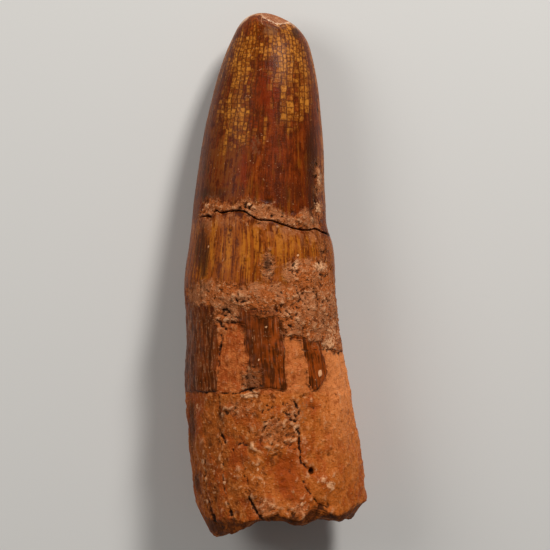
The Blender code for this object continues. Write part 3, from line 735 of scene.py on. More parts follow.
slope_x, slope_z = side / half.clip(LEAST_HALF), over / depth.clip(LEAST_HALF)
lean = np.hypot(slope_x, slope_z)
x = x + rise * slope_x / lean
z = z + rise * slope_z / lean
tip = np.array([(LEFT_EDGE[0][1], LENGTH / 2, AXIS_HEIGHT[0][1])])
last = np.array([(x[-1].mean(), LENGTH / 2 - down[-1].mean(), z[-1].mean())])
grid = np.stack((x, LENGTH / 2 - down, z), axis=-1).reshape(-1, 3)
points = np.concatenate((tip, grid, last))
height = points @ WEAR_NORMAL
worn = height - height.max() + WEAR_CUT
points = points - np.outer(np.maximum(worn, 0.0), WEAR_NORMAL)
points[:, 2] -= points[:, 2].min() + SPOT_DEPTH
points[:, 2] = np.maximum(points[:, 2], 0.0)
print("points:", len(points), "of them on the flat spot:", int((points[:, 2] == 0.0).sum()))

# %% [markdown]
# ## One closed skin
#
# Quads join each ring to the next, and a fan of triangles closes each end around one
# point. So the skin has no hole, and it can be printed as well as rendered.

# %% Faces of the skin
def skin_faces(rings, turns):
    """Quads between neighbouring rings, and a fan of triangles at both ends."""
    table = 1 + np.arange(rings * turns).reshape(rings, turns)
    beside = np.roll(table, -1, axis=1)
    quads = np.stack((table[:-1], beside[:-1], beside[1:], table[1:]), axis=-1).reshape(-1, 4)
    end = rings * turns + 1
    fans = [(beside[0][k], table[0][k], 0) for k in range(turns)]
    fans += [(table[-1][k], beside[-1][k], end) for k in range(turns)]
    return quads.tolist() + np.array(fans).tolist()


tooth_mesh = bpy.data.meshes.new("tooth_skin")
tooth_mesh.from_pydata((points * MM).tolist(), [], skin_faces(*x.shape))
tooth_mesh.shade_smooth()
tooth = bpy.data.objects.new("tooth_skin", tooth_mesh)
bpy.context.scene.collection.objects.link(tooth)
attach(tooth, "root")
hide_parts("tooth")
print("faces:", len(tooth_mesh.polygons), "triangles:", 2 * TURNS * (x.shape[0] - 1) + 2 * TURNS)

# %% [markdown]
# ## Numbers for the paint
#
# Every number that the paint needs is stored on the mesh as an attribute, so the
# colours stay on the tooth however it is turned. Skin is the place on the tooth in
# millimetres. Hollow is how far a point lies below its surroundings. The paint uses it
# for painted shade in the dips and painted highlights on the crests.

# %% Attributes
SKIN_RADIUS = 15.0
HOLLOW_BLURS = 10
FACET_EDGE, FACET_SLOPE, OFF_FACET = -0.1, 0.84, -2.0
TIP_RIDGE = [(-5.0, -0.4), (-3.0, -0.3), (-2.4, 0.9), (-1.8, 1.3), (-0.6, 1.9), (0.6, 2.5),
             (1.6, 2.4), (2.8, 2.1), (4.5, 2.6)]


def store(name, table):
    """Keeps a table of the grid on the mesh, with its end values at both end points."""
    flat = table.reshape(x.shape[0] * TURNS, -1)
    ends = [row.reshape(TURNS, -1).mean(axis=0, keepdims=True) for row in (table[0], table[-1])]
    kind, field = ("FLOAT", "value") if flat.shape[1] == 1 else ("FLOAT_VECTOR", "vector")
    layer = tooth_mesh.attributes.new(name, kind, "POINT")
    values = np.concatenate((ends[0], flat, ends[1]))
    layer.data.foreach_set(field, values.astype(np.float32).ravel())


def blurred(table, times):
    """Softens a table along both ways of the grid."""
    for _ in range(times):
        table = (np.roll(table, 1, axis=1) + 2.0 * table + np.roll(table, -1, axis=1)) / 4.0
        padded = np.concatenate((table[:1], table, table[-1:]))
        table = (padded[:-2] + 2.0 * table + padded[2:]) / 4.0
    return table


spread = np.sqrt(SKIN_RADIUS * half.clip(1.0))
angle = np.arctan2(side, over)
worn = worn[1:-1].reshape(x.shape)
store("skin", np.stack((spread * side * inward, down, spread * over * inward), axis=-1))
store("around", spread * angle)
store("flank", over + 0.0 * down)
store("across", x)
store("coat", coat)
store("split", split)
store("opening", opening + 0.0 * down)
store("crust", crust_room)
store("cluster", cluster_room)
store("inward", inward)
store("cracks", cracks)
store("ridges", ridges)
store("hollow", blurred(rise, HOLLOW_BLURS) - rise)
tip_room = curve(TIP_RIDGE, x) - down - FACET_SLOPE * worn.clip(0.0)
store("tip", np.where(worn > FACET_EDGE, tip_room, OFF_FACET))
print("attributes:", len(tooth_mesh.attributes))

# %% [markdown]
# ## Stains, painted glints and painted shade
#
# The colours of a fossil come from minerals in its groundwater, and they follow no
# rule. So each pigment gets its own list of soft spots, placed like touches of an
# airbrush: x, down, half width, half height and strength. The back can't be seen in
# the picture, and its spots are scattered at random in the same sizes.

# %% Stains of each pigment
FRONT_STAINS = {
    # Dark spots along the broken end, about 100 mm down, are painted shade on chips that face away from
    # the lamps; the rest are stains.
    "dark_stain_and_shade": [(4.0, 4.2, 1.2, 1.6, 1.0), (7.6, 15.0, 1.2, 6.0, 0.35), (7.2, 29.0, 1.7, 10.0, 0.9),
             (3.0, 36.5, 3.6, 3.4, 0.6), (8.0, 39.0, 1.6, 3.5, 0.5), (-12.4, 36.4, 4.4, 1.7, 0.6),
             (-13.8, 29.0, 1.5, 9.0, 0.5), (-10.5, 12.0, 1.6, 6.0, 0.4), (-14.5, 48.0, 1.9, 7.0, 0.9),
             (-8.8, 43.7, 0.5, 0.5, 0.7), (9.7, 47.0, 1.2, 3.4, 0.5), (-1.4, 50.3, 1.0, 1.8, 0.7),
             (-10.4, 80.3, 1.3, 3.0, 0.7), (-8.5, 84.0, 2.5, 2.0, 0.5), (-6.5, 89.0, 1.8, 1.6, 0.5),
             (-12.0, 102.4, 3.2, 1.8, 1.0), (3.6, 100.8, 1.8, 1.0, 1.0), (8.2, 99.7, 0.9, 1.0, 0.9),
             (11.4, 100.2, 1.2, 1.0, 0.9), (-8.0, 101.0, 1.2, 0.8, 0.8), (5.9, 46.0, 1.4, 3.0, 0.35),
             (-1.2, 38.1, 1.2, 0.8, 0.7), (-16.7, 83.0, 1.3, 8.0, 0.8), (-12.7, 86.0, 0.8, 3.2, 0.6),
             (-15.7, 94.0, 1.0, 3.0, 0.8), (-11.6, 95.0, 0.7, 2.4, 0.55), (-7.6, 95.5, 1.0, 2.2, 0.4)],
    "golden": [(2.8, 9.5, 3.0, 7.0, 0.5), (-6.6, 13.0, 3.0, 7.0, 0.3), (-8.5, 22.0, 2.0, 4.0, 0.5),
               (-3.6, 46.0, 0.6, 4.6, 1.0), (0.9, 46.6, 0.75, 4.2, 0.9), (-12.6, 47.5, 0.7, 4.5, 0.6),
               (-9.2, 48.2, 0.8, 4.5, 0.8), (-6.4, 47.8, 0.8, 5.0, 0.8), (2.2, 47.0, 0.4, 5.0, 0.6),
               (3.6, 46.0, 0.5, 4.0, 0.6), (7.6, 47.2, 0.7, 3.4, 0.6), (-3.2, 54.4, 1.2, 1.0, 0.6),
               (1.6, 53.0, 0.9, 1.2, 0.7), (-10.6, 30.0, 0.8, 6.0, 0.4), (9.0, 101.0, 3.0, 1.0, 0.6)],
    "red": [(-1.2, 16.0, 2.6, 6.5, 1.0), (-6.2, 31.5, 0.9, 4.8, 0.8), (0.5, 29.0, 3.5, 6.0, 0.4),
            (-4.5, 24.0, 1.5, 4.0, 0.4), (2.4, 92.0, 3.4, 5.4, 1.0), (-10.6, 47.0, 0.5, 6.0, 0.5),
            (7.6, 70.0, 1.6, 5.0, 0.6), (-9.0, 82.0, 1.5, 3.0, 0.3), (-3.0, 80.5, 2.0, 1.6, 0.4)],
    "grey": [(-0.8, 3.6, 1.8, 1.9, 0.8), (-3.8, 27.5, 1.4, 2.6, 0.6), (-1.5, 50.8, 1.1, 2.6, 0.8),
             (-4.8, 73.8, 2.4, 2.8, 0.8), (-5.5, 89.5, 1.5, 2.0, 0.4), (5.6, 79.5, 1.1, 3.5, 0.5),
             (-15.2, 68.0, 2.2, 7.0, 0.3), (6.0, 41.8, 1.6, 1.6, 0.6), (-12.6, 36.8, 3.4, 1.2, 0.5),
             (4.6, 59.0, 0.8, 1.4, 0.5), (5.6, 61.8, 1.0, 1.6, 0.5)],
    # The tiny, strong pale spots and those at x -4.8, 4.1 and 8.9 are painted glints; the rest are pale
    # stains.
    "pale_stain_and_glint": [(11.6, 63.4, 2.0, 3.6, 0.5), (11.0, 94.3, 1.0, 1.3, 0.8), (9.0, 51.0, 1.8, 1.2, 0.9),
             (4.0, 50.8, 0.9, 1.2, 0.85), (-4.8, 76.5, 2.2, 0.5, 1.0), (4.1, 82.7, 0.5, 0.5, 1.2),
             (-4.6, 86.4, 0.6, 0.8, 0.8), (8.9, 72.1, 0.36, 0.66, 2.2), (8.6, 39.2, 1.0, 2.2, 0.6),
             (8.9, 33.6, 0.6, 2.2, 0.6), (-13.6, 38.9, 0.8, 1.0, 0.6), (-5.2, 38.7, 0.3, 0.3, 2.6),
             (9.2, 93.1, 1.6, 1.0, 0.5), (5.3, 97.7, 0.34, 0.34, 2.2), (-3.4, 90.9, 0.3, 0.3, 1.6),
             (-3.2, 69.3, 0.2, 0.2, 1.6), (4.6, 48.7, 0.28, 0.28, 1.6),
             (-10.3, 49.9, 0.22, 0.22, 1.3), (-13.2, 47.1, 0.22, 0.22, 1.2),
             (-1.8, 62.9, 0.18, 0.18, 1.4), (-3.6, 38.9, 1.6, 1.0, 0.4), (10.4, 66.5, 1.6, 1.6, 0.6),
             (-14.2, 89.6, 0.5, 0.9, 0.7), (-13.6, 97.4, 0.6, 0.8, 0.7), (-9.9, 93.4, 0.5, 0.9, 0.7),
             (-15.2, 79.0, 0.7, 1.2, 0.5), (-12.2, 91.4, 0.6, 1.0, 0.6)],
}
BACK_COUNTS = {"dark_stain_and_shade": 22, "golden": 12, "red": 12, "grey": 14, "pale_stain_and_glint": 16}
BACK_LOW, BACK_HIGH = (-13.0, 6.0, 0.6, 1.2, 0.4), (13.0, 99.0, 2.4, 6.5, 0.9)

for pigment, spots in FRONT_STAINS.items():
    back_spots = scattered(BACK_COUNTS[pigment], BACK_LOW, BACK_HIGH)
    ahead, behind = (sum(touch[4] * spot(x, down, touch) for touch in touches)
                     for touches in (spots, back_spots))
    store(pigment, joined(ahead, behind))
    print(pigment, "spots:", len(spots), "and", len(back_spots))

# %% [markdown]
# ## Shader maths written as sums
#
# A procedural finish is mostly arithmetic. Laid out as nodes by hand it is hard to read,
# so a socket is wrapped in a small class with the usual operators. An expression
# such as 1 - mask then adds the Math nodes by itself. Every other node comes from
# one method, which takes the type, its settings and the values of its sockets.

# %% Wires and paint bench
class Wire:
    """A socket that can be used like a number, also with plain numbers beside it."""

    def __init__(self, bench, socket):
        self.bench, self.socket = bench, socket

    def math(self, operation, *parts):
        return self.bench.node("ShaderNodeMath", {"operation": operation}, dict(enumerate(parts)))

    def __add__(self, other):
        return self.math("ADD", self, other)

    def __sub__(self, other):
        return self.math("SUBTRACT", self, other)

    def __rsub__(self, other):
        return self.math("SUBTRACT", other, self)

    def __mul__(self, other):
        return self.math("MULTIPLY", self, other)

    def __truediv__(self, other):
        return self.math("DIVIDE", self, other)

    def floor(self):
        return self.math("FLOOR", self)

    def fraction(self):
        return self.math("FRACT", self)

    def size(self):
        return self.math("ABSOLUTE", self)

    def most(self, other):
        return self.math("MAXIMUM", self, other)

    __radd__ = __add__
    __rmul__ = __mul__


class Bench:
    """A material whose nodes are added one at a time."""

    def __init__(self, name):
        self.material = bpy.data.materials.new(name)
        self.material.use_nodes = True
        self.tree = self.material.node_tree
        self.shader = self.tree.nodes["Principled BSDF"]

    def plug(self, socket, value):
        """Links a wire to a socket, or sets the socket's value."""
        if isinstance(value, Wire):
            self.tree.links.new(value.socket, socket)
        else:
            socket.default_value = value

    def node(self, kind, settings, sockets, output=0):
        """Adds a node with its settings and sockets, and gives the wire of one output."""
        made = self.tree.nodes.new(kind)
        for name, value in settings.items():
            setattr(made, name, value)
        for key, value in sockets.items():
            self.plug(made.inputs[key], value)
        return Wire(self, made.outputs[output])

    def number(self, name):
        """Reads a number that is stored on the mesh."""
        return self.node("ShaderNodeAttribute", {"attribute_name": name}, {}, 2)

    def ease(self, low, high, value):
        """0 below low, 1 above high, smooth between them."""
        return self.node("ShaderNodeMapRange", {"interpolation_type": "SMOOTHSTEP"},
                         {"Value": value, "From Min": low, "From Max": high})

    def blend(self, share, ground, coat):
        """The colour ground where share is 0 and coat where it is 1."""
        return self.node("ShaderNodeMix", {"data_type": "RGBA"}, {0: share, 6: ground, 7: coat}, 2)

    def coats(self, ground, *layers):
        """Lays colours over a ground one after the other, each with the share it covers."""
        for share, coat in layers:
            ground = self.blend(share, ground, coat)
        return ground


def colour(red, green, blue):
    """A colour in linear light."""
    return (red, green, blue, 1.0)


print("operators of a wire:", [name for name in vars(Wire) if name.startswith("__r")])

# %% [markdown]
# ## Noise over the skin
#
# Noise that is stretched along the tooth gives streaks, and noise of even size gives
# grain. Both are read over the skin attribute, which runs around the tooth and down it
# in millimetres. Streaks then draw together towards the tip, as the real ones do.

# %% Streaks, clouds and grain
paint = Bench("fossil_tooth")
skin = paint.node("ShaderNodeAttribute", {"attribute_name": "skin"}, {}, 1)
down_wire = paint.node("ShaderNodeSeparateXYZ", {}, {0: skin}, 1)
across = paint.number("across")
flank = paint.number("flank")
around = paint.number("around")


def noise_at(across_mm, along_mm, detail, shift):
    """Noise of about 0.3 to 0.7, with its size across and along the tooth in millimetres."""
    stretch = (1.0 / across_mm, 1.0 / along_mm, 1.0 / across_mm)
    place = paint.node("ShaderNodeVectorMath", {"operation": "MULTIPLY_ADD"},
                       {0: skin, 1: stretch, 2: (shift, shift, shift)})
    return paint.node("ShaderNodeTexNoise", {}, {"Vector": place, "Scale": 1.0,
                                                 "Detail": detail, "Roughness": 0.6})


hair = noise_at(0.38, 3.6, 2.0, 3.0)
streak = noise_at(0.8, 9.0, 3.0, 7.0)
broad = noise_at(2.2, 15.0, 2.0, 13.0)
cloud = noise_at(5.0, 7.0, 3.0, 19.0)
mottle = noise_at(1.5, 1.8, 3.0, 23.0)
speckle = noise_at(0.5, 0.55, 2.0, 29.0)
dust = noise_at(0.3, 0.3, 1.0, 31.0)
frayed = noise_at(0.8, 0.9, 3.0, 37.0) - 0.5
grit_wire = speckle * 0.6 + dust * 0.4
print("noises done, nodes:", len(paint.tree.nodes))

# %% [markdown]
# ## Enamel
#
# Mineral water has stained the enamel red brown. It has fine streaks along the tooth
# everywhere. The colours go on one over the other, as glazes do: each coat is a share
# from 0 to 1 and a colour. The stains go on through the same streaks, so that no touch
# of the airbrush has a soft round edge.

# %% Enamel colour
ENAMEL_DEEP = colour(0.075, 0.0110, 0.0008)
ENAMEL_BROWN = colour(0.170, 0.0235, 0.0008)
ENAMEL_LIGHT = colour(0.31, 0.0620, 0.0030)
GOLD_BROWN = colour(0.25, 0.0650, 0.0030)
OLIVE = colour(0.175, 0.0400, 0.0038)
RED = colour(0.180, 0.0165, 0.0004)
DARK = colour(0.034, 0.0080, 0.0012)
GREY = colour(0.170, 0.0680, 0.0290)
FLECK = colour(0.55, 0.2700, 0.1300)

streaks = hair * 0.3 + streak * 0.45 + broad * 0.25
other_streaks = noise_at(0.5, 5.0, 2.0, 43.0) * 0.5 + noise_at(1.2, 11.0, 2.0, 47.0) * 0.5
fine_tone = hair * 0.5 + speckle * 0.3 + dust * 0.2
brown_streaks = paint.ease(0.42, 0.56, streaks * 0.6 + mottle * 0.4)
deep_hairs = paint.ease(0.50, 0.38, fine_tone)
gold_streaks = paint.ease(0.49, 0.60, other_streaks * 0.6 + cloud * 0.4)
light_streaks = paint.ease(0.53, 0.62, streaks * 0.7 + mottle * 0.3)
light_hairs = paint.ease(0.54, 0.64, fine_tone)
margin = paint.ease(-4.5, -9.0, across + (cloud - 0.5) * 10.0)
margin = margin * paint.ease(0.44, 0.56, mottle * 0.5 + other_streaks * 0.5)
golden = paint.ease(0.15, 0.75, paint.number("golden") + (other_streaks - 0.5) * 2.6)
red = paint.ease(0.2, 0.9, paint.number("red") + (mottle - 0.5) * 1.2 + (hair - 0.5) * 1.2)
enamel = paint.coats(
    ENAMEL_DEEP,
    (brown_streaks, ENAMEL_BROWN),
    (deep_hairs * 0.4, ENAMEL_DEEP),
    (gold_streaks * 0.6, GOLD_BROWN),
    (light_streaks * 0.7, ENAMEL_LIGHT),
    (light_hairs * 0.5, ENAMEL_LIGHT),
    (margin, OLIVE),
    (golden * 0.8, GOLD_BROWN),
    (red * 0.75, RED))
print("coats of enamel done, nodes:", len(paint.tree.nodes))

# %% [markdown]
# ## Crackle
#
# Near the tip the enamel has crazed into small bricks of gold, with dark lines between
# them. A Voronoi texture would give round cells, and these are square: they stand in
# columns down the tooth, and each column has its own rows. So the column number comes
# first, each column then shifts and stretches its rows, and one random number for
# each brick says how bright it is and whether it is there at all.

# %% Crackle bricks
COARSE_BRICK, FINE_BRICK = (1.75, 1.2), (1.2, 0.9)
GOLD = colour(0.22, 0.0540, 0.0025)
GOLD_PALE = colour(0.54, 0.1900, 0.0200)
LINE_BROWN = colour(0.072, 0.0125, 0.0007)
COARSE_GOLD = [(2.8, 10.4, 3.4, 8.4), (4.2, 19.4, 1.8, 2.8)]
FINE_GOLD = [(-2.6, 7.6, 8.0, 3.2), (-6.6, 12.6, 3.2, 5.4), (-7.6, 20.6, 3.2, 4.8),
             (3.6, 3.0, 1.8, 1.8), (-4.2, 23.0, 1.6, 2.0), (-7.4, 21.0, 2.2, 3.4)]
BACK_COARSE = [(-4.0, 11.0, 3.4, 8.0), (3.6, 18.0, 2.4, 5.0)]
BACK_FINE = [(2.0, 8.0, 4.4, 3.4), (-6.0, 22.0, 2.4, 3.6)]
store("coarse_gold", on_face(COARSE_GOLD, BACK_COARSE))
store("fine_gold", on_face(FINE_GOLD, BACK_FINE))


def crackle(ground, room, width, tall):
    """Lays bricks of gold over a ground colour."""
    warp = (noise_at(3.4, 6.0, 2.0, 41.0 + width) - 0.5) * 2.6 + frayed * 0.3
    column = (around + warp) / width
    column_number = paint.node("ShaderNodeTexWhiteNoise", {"noise_dimensions": "1D"},
                               {"W": column.floor()})
    row = (down_wire + frayed * 0.7) / tall / (column_number * 0.4 + 0.8) + column_number * 7.0
    corner = paint.node("ShaderNodeCombineXYZ", {}, {0: column.floor(), 1: row.floor(), 2: width})
    number = paint.node("ShaderNodeTexWhiteNoise", {"noise_dimensions": "3D"}, {"Vector": corner})
    fade = room * 0.6 + (cloud - 0.5) * 5.0 + (other_streaks - 0.5) * 4.0 + 0.5
    there = paint.ease(-0.4, 1.8, fade + (number - 0.6) * 1.6 + (column_number - 0.5) * 1.2)
    light = number * 0.5 + column_number * 0.4 + (mottle - 0.5) * 2.0 + (speckle - 0.5) * 2.4
    tint = paint.blend(paint.ease(0.1, 0.9, light), GOLD, GOLD_PALE)
    beside = (0.5 - (column.fraction() - 0.5).size()) * width + frayed * 0.3
    above = (0.5 - (row.fraction() - 0.5).size()) * tall + frayed * 0.3
    upright = 1.0 - paint.ease(0.03, 0.26, beside)
    level = (1.0 - paint.ease(0.0, 0.22, above)) * 0.8
    lines = upright.most(level) * paint.ease(-1.4, 0.2, fade) * paint.ease(0.22, 0.40, speckle)
    return paint.blend(lines * 0.9, paint.blend(there * 0.88, ground, tint), LINE_BROWN)


enamel = crackle(enamel, paint.number("coarse_gold"), *COARSE_BRICK)
enamel = crackle(enamel, paint.number("fine_gold"), *FINE_BRICK)
print("crackle done, nodes:", len(paint.tree.nodes))

# %% [markdown]
# ## Streaked enamel below the crack, and dark panels
#
# Below the crack the enamel is thin and lets the dentine through in gold and orange
# stripes, with dark ones between them. Lower down, the panels of enamel are the darkest of
# all, with thin pale upright lines.

# %% Stripes and panels
STRIPE_ORANGE = colour(0.31, 0.0680, 0.0045)
STRIPE_GOLD = colour(0.52, 0.1600, 0.0110)
STRIPE_DARK = colour(0.115, 0.0200, 0.0016)
PANEL_DARK = colour(0.070, 0.0150, 0.0016)
PANEL_BROWN = colour(0.205, 0.0360, 0.0026)
PANEL_ORANGE = colour(0.31, 0.0540, 0.0035)
STREAK_END, PANEL_START = 56.0, 60.0

split_wire = paint.number("split")
below = paint.ease(0.0, 2.5, split_wire + frayed * 2.0)
striped = below * (1.0 - paint.ease(STREAK_END - 3.0, STREAK_END + 1.0, down_wire + frayed * 6.0))
stripe_tone = noise_at(0.45, 12.0, 2.0, 49.0) * 0.45 + hair * 0.2 + speckle * 0.2 + mottle * 0.15
orange_stripes = paint.ease(0.43, 0.54, stripe_tone)
gold_stripes = paint.ease(0.53, 0.62, noise_at(0.6, 18.0, 2.0, 51.0)).most(golden)
gold_stripes = gold_stripes * paint.ease(0.38, 0.54, hair * 0.4 + mottle * 0.3 + speckle * 0.3)
stripes = paint.coats(
    STRIPE_DARK,
    (orange_stripes, STRIPE_ORANGE),
    (gold_stripes * 0.85, STRIPE_GOLD))

panel_tone = hair * 0.4 + streak * 0.35 + mottle * 0.25
brown_panels = paint.ease(0.42, 0.60, panel_tone)
right_half = paint.ease(-2.5, 0.5, across + (mottle - 0.5) * 6.0)
orange_panels = right_half * paint.ease(0.44, 0.58, panel_tone)
left_margin = paint.ease(-8.0, -11.0, across)
olive_panels = left_margin * paint.ease(0.46, 0.60, hair * 0.6 + grit_wire * 0.4)
hairlines = paint.ease(0.60, 0.68, noise_at(0.26, 9.0, 1.0, 57.0)) * paint.ease(0.48, 0.58, mottle)
scuffs = paint.ease(0.54, 0.62, speckle * 0.4 + hair * 0.6)
panels = paint.coats(
    PANEL_DARK,
    (brown_panels, PANEL_BROWN),
    (orange_panels * 0.8, PANEL_ORANGE),
    (olive_panels * 0.8, OLIVE),
    (hairlines * 0.25, FLECK),
    (left_margin * scuffs * 0.3, FLECK),
    (red * 0.6, PANEL_ORANGE))
on_panels = paint.ease(PANEL_START - 1.0, PANEL_START + 1.0, down_wire)
enamel = paint.coats(enamel, (striped * 0.9, stripes), (on_panels * 0.96, panels))
print("stripes and panels done, nodes:", len(paint.tree.nodes))

# %% [markdown]
# ## Dentine and root
#
# The windows of bare dentine are the brightest orange of the tooth. The root is browner
# at the left and orange at the right, and its hollow in the middle is red and smooth.
# On top of that, painted light makes the windows paler towards the right and lifts the
# right flank of the windows and the root, where the main lamp falls. Small pale specks
# on the root are painted glints.

# %% Dentine and root colour
DENTINE = colour(0.34, 0.0620, 0.0080)
DENTINE_PALE = colour(0.56, 0.1550, 0.0350)
DENTINE_LIT = colour(0.80, 0.2600, 0.0750)
ROOT_BROWN = colour(0.28, 0.0590, 0.0042)
ROOT_ORANGE = colour(0.47, 0.1120, 0.0130)
ROOT_PALE = colour(0.62, 0.2150, 0.0550)
ROOT_DARK = colour(0.12, 0.0230, 0.0020)
ROOT_RED = colour(0.34, 0.0500, 0.0025)

coat_wire = paint.number("coat")
tone = speckle * 0.35 + mottle * 0.4 + hair * 0.25
# painted light: the windows grow paler towards the right, the side the main lamp lights
window_light_to_right = paint.ease(-10.0, 16.0, across) * 0.14
windows = paint.blend(paint.ease(0.42, 0.62, tone + window_light_to_right), DENTINE, DENTINE_PALE)
root_share = paint.ease(-20.0, 6.0, across + (cloud - 0.5) * 40.0 + (mottle - 0.5) * 16.0)
pale_root = paint.ease(0.50, 0.64, tone)
shade = paint.ease(0.48, 0.40, mottle * 0.6 + cloud * 0.4) * paint.ease(9.0, 2.0, across)
red_places = paint.ease(0.50, 0.60, noise_at(3.2, 5.0, 2.0, 61.0))
dark_grit = paint.ease(0.44, 0.36, grit_wire)
# painted glints: tiny pale specks on the root
root_glint_specks = paint.ease(0.56, 0.64, grit_wire)
root = paint.coats(
    ROOT_BROWN,
    (root_share, ROOT_ORANGE),
    (pale_root * 0.7, ROOT_PALE),
    (shade * 0.75, ROOT_DARK),
    (red_places * 0.6, ROOT_RED),
    (dark_grit * 0.5, ROOT_DARK),
    (root_glint_specks * 0.5, ROOT_PALE),
    (red * 0.8, ROOT_RED))
on_root = paint.ease(ENAMEL_END - 0.4, ENAMEL_END + 0.6, down_wire)
# painted light on the right flank of the windows and the root
painted_right_light = paint.ease(8.0, 12.5, across) * paint.ease(94.0, 74.0, down_wire + (mottle - 0.5) * 16.0)
painted_right_light = painted_right_light * paint.ease(0.36, 0.54, tone)
dentine = paint.coats(windows, (on_root, root), (painted_right_light * 0.75, DENTINE_LIT))
body = paint.blend(paint.ease(-0.06, 0.06, coat_wire), dentine, enamel)
print("dentine and root done, nodes:", len(paint.tree.nodes))

# %% [markdown]
# ## Crust and clusters
#
# The crust is sandstone: pinkish sand with darker and paler grains. It covers what is
# under it, so it goes over the other colours, with a ragged edge. The clusters of pits are
# browner, and the rest of their look is in their relief.

# %% Crust colour
SAND = colour(0.43, 0.1450, 0.0500)
SAND_ORANGE = colour(0.45, 0.1100, 0.0200)
SAND_PALE = colour(0.80, 0.4200, 0.2100)
SAND_DARK = colour(0.085, 0.0240, 0.0050)

pink_sand = paint.ease(0.45, 0.55, cloud * 0.5 + mottle * 0.5)
dark_sand = paint.ease(0.48, 0.39, mottle * 0.5 + speckle * 0.5)
dark_grains = paint.ease(0.42, 0.35, grit_wire)
pale_grains = paint.ease(0.56, 0.66, grit_wire)
sand = paint.coats(
    SAND_ORANGE,
    (pink_sand, SAND),
    (dark_sand * 0.65, SAND_DARK),
    (dark_grains * 0.4, SAND_DARK),
    (pale_grains * 0.7, SAND_PALE))
sandy = paint.ease(-0.5, 0.6, paint.number("crust") + frayed * 3.0 + (mottle - 0.5) * 2.0)
film = (1.0 - paint.ease(0.5, 4.5, split_wire)) * paint.ease(-0.1, 0.3, split_wire)
film = film * paint.ease(0.42, 0.58, mottle)
cluster_wire = paint.ease(-0.5, 0.8, paint.number("cluster") + frayed * 3.0)
body = paint.coats(body, (sandy * 0.88, sand), (film * 0.6, sand), (cluster_wire * 0.55, sand))
print("crust done, nodes:", len(paint.tree.nodes))

# %% [markdown]
# ## Stains, cracks, painted shade and painted highlights
#
# Cracks are dark with soil. The dips get painted shade, and the crests, the raised
# ridges and small pale specks get painted highlights. The dark stains include painted
# shade on the chips of the broken end, and the pale ones include painted glints. The hollow
# attribute is positive in dips and negative on crests, which is all that is needed.

# %% Stains, cracks, painted shade in the dips and painted highlights on the crests
SOIL_AND_SHADE = colour(0.016, 0.0045, 0.0010)
RIDGE_PALE = colour(0.72, 0.34, 0.15)

grey = paint.ease(0.25, 0.95, paint.number("grey") + (mottle - 0.5) * 1.0 + (speckle - 0.5) * 1.6)
dark_stain_and_shade = paint.ease(0.25, 0.95, paint.number("dark_stain_and_shade") + (mottle - 0.5) * 1.2 + (streak - 0.5) * 1.4)
pale_stain_and_glint = paint.ease(0.35, 0.85, paint.number("pale_stain_and_glint") + (speckle - 0.5) * 2.0)
bared = paint.ease(0.1, -0.1, coat_wire)
# painted sparkle: tiny pale specks scattered over the tooth
painted_sparkle = paint.ease(0.63, 0.70, grit_wire + bared * 0.03) * paint.ease(0.42, 0.56, cloud)
hollow = paint.number("hollow") + (dust - 0.5) * 0.12
# painted shade: the dips of the relief are darkened
painted_dip_shade = paint.ease(0.05, 0.30, hollow)
# painted highlight: the crests of bare dentine and crust are lightened
painted_crest_highlight = paint.ease(0.06, 0.26, -1.0 * hollow) * bared.most(sandy)
scatter = frayed * 2.0 + (speckle - 0.5) * 4.0
# pale paint on raised strokes, a painted highlight on the scratches and glints
ridge_pale_and_glint = paint.ease(0.7, -0.2, paint.number("ridges") + scatter)
crevice = paint.ease(0.55, -0.15, paint.number("cracks") + scatter)
split_line = 1.0 - paint.ease(0.06, 0.16, split_wire.size() + frayed * 0.1)
body = paint.coats(
    body,
    (grey * 0.7, GREY),
    (dark_stain_and_shade * 0.8, DARK),
    (pale_stain_and_glint * 0.8, SAND_PALE),
    (painted_sparkle * 0.6, FLECK),
    (painted_dip_shade * 0.85, SOIL_AND_SHADE),
    (painted_crest_highlight * 0.5, SAND_PALE),
    (ridge_pale_and_glint * 0.5, RIDGE_PALE),
    (crevice * 0.8, SOIL_AND_SHADE),
    (split_line * paint.number("opening"), SOIL_AND_SHADE))
print("dirt and wear done, nodes:", len(paint.tree.nodes))

# %% [markdown]
# ## Colour of the broken end
#
# The break shows brown dentine with orange places, and the filled dish inside it has the
# colours of the sand. A thin painted highlight marks the lit top edge of the bevel. How far
# inward a point lies says which of them it is.

# %% Colour of the broken end
BREAK_BROWN = colour(0.13, 0.030, 0.0050)

inward_wire = paint.number("inward")
broken = 1.0 - paint.ease(0.97, 0.995, inward_wire)
break_tone = paint.ease(0.42, 0.62, mottle * 0.6 + speckle * 0.4)
fill = 1.0 - paint.ease(0.52, 0.62, inward_wire + frayed * 0.2)
break_colour = paint.coats(BREAK_BROWN, (break_tone, ROOT_ORANGE), (fill, sand), (dark_stain_and_shade * 0.8, DARK))
# painted highlight along the top edge of the bevel
bevel_edge_highlight = paint.ease(0.03, 0.01, (inward_wire - BEVEL_EDGE - 0.005 + frayed * 0.02).size())
bevel_edge_highlight = bevel_edge_highlight * paint.ease(0.42, 0.58, mottle)
body = paint.coats(body, (broken, break_colour), (bevel_edge_highlight * 0.5, ROOT_PALE))
print("broken end done, nodes:", len(paint.tree.nodes))

# %% [markdown]
# ## Rubbed tip and painted highlights on the edges
#
# The tip is worn through to pink dentine. A painted highlight runs along the border of the
# worn patch, a thin painted highlight runs down the outline from it on both sides, and a
# fainter one follows both edges down towards the crack. Further down, the right edge has a
# painted highlight beside a dark stain. All of these follow the flank number, which is 0 on
# the outline.

# %% Tip, and painted highlights on its border, the rims and the edges
TIP_PINK = colour(0.27, 0.080, 0.0260)
TIP_CREAM = colour(0.58, 0.280, 0.1400)
TIP_HIGHLIGHT = colour(0.78, 0.500, 0.3200)
EDGE_HIGHLIGHT = colour(0.44, 0.150, 0.0400)

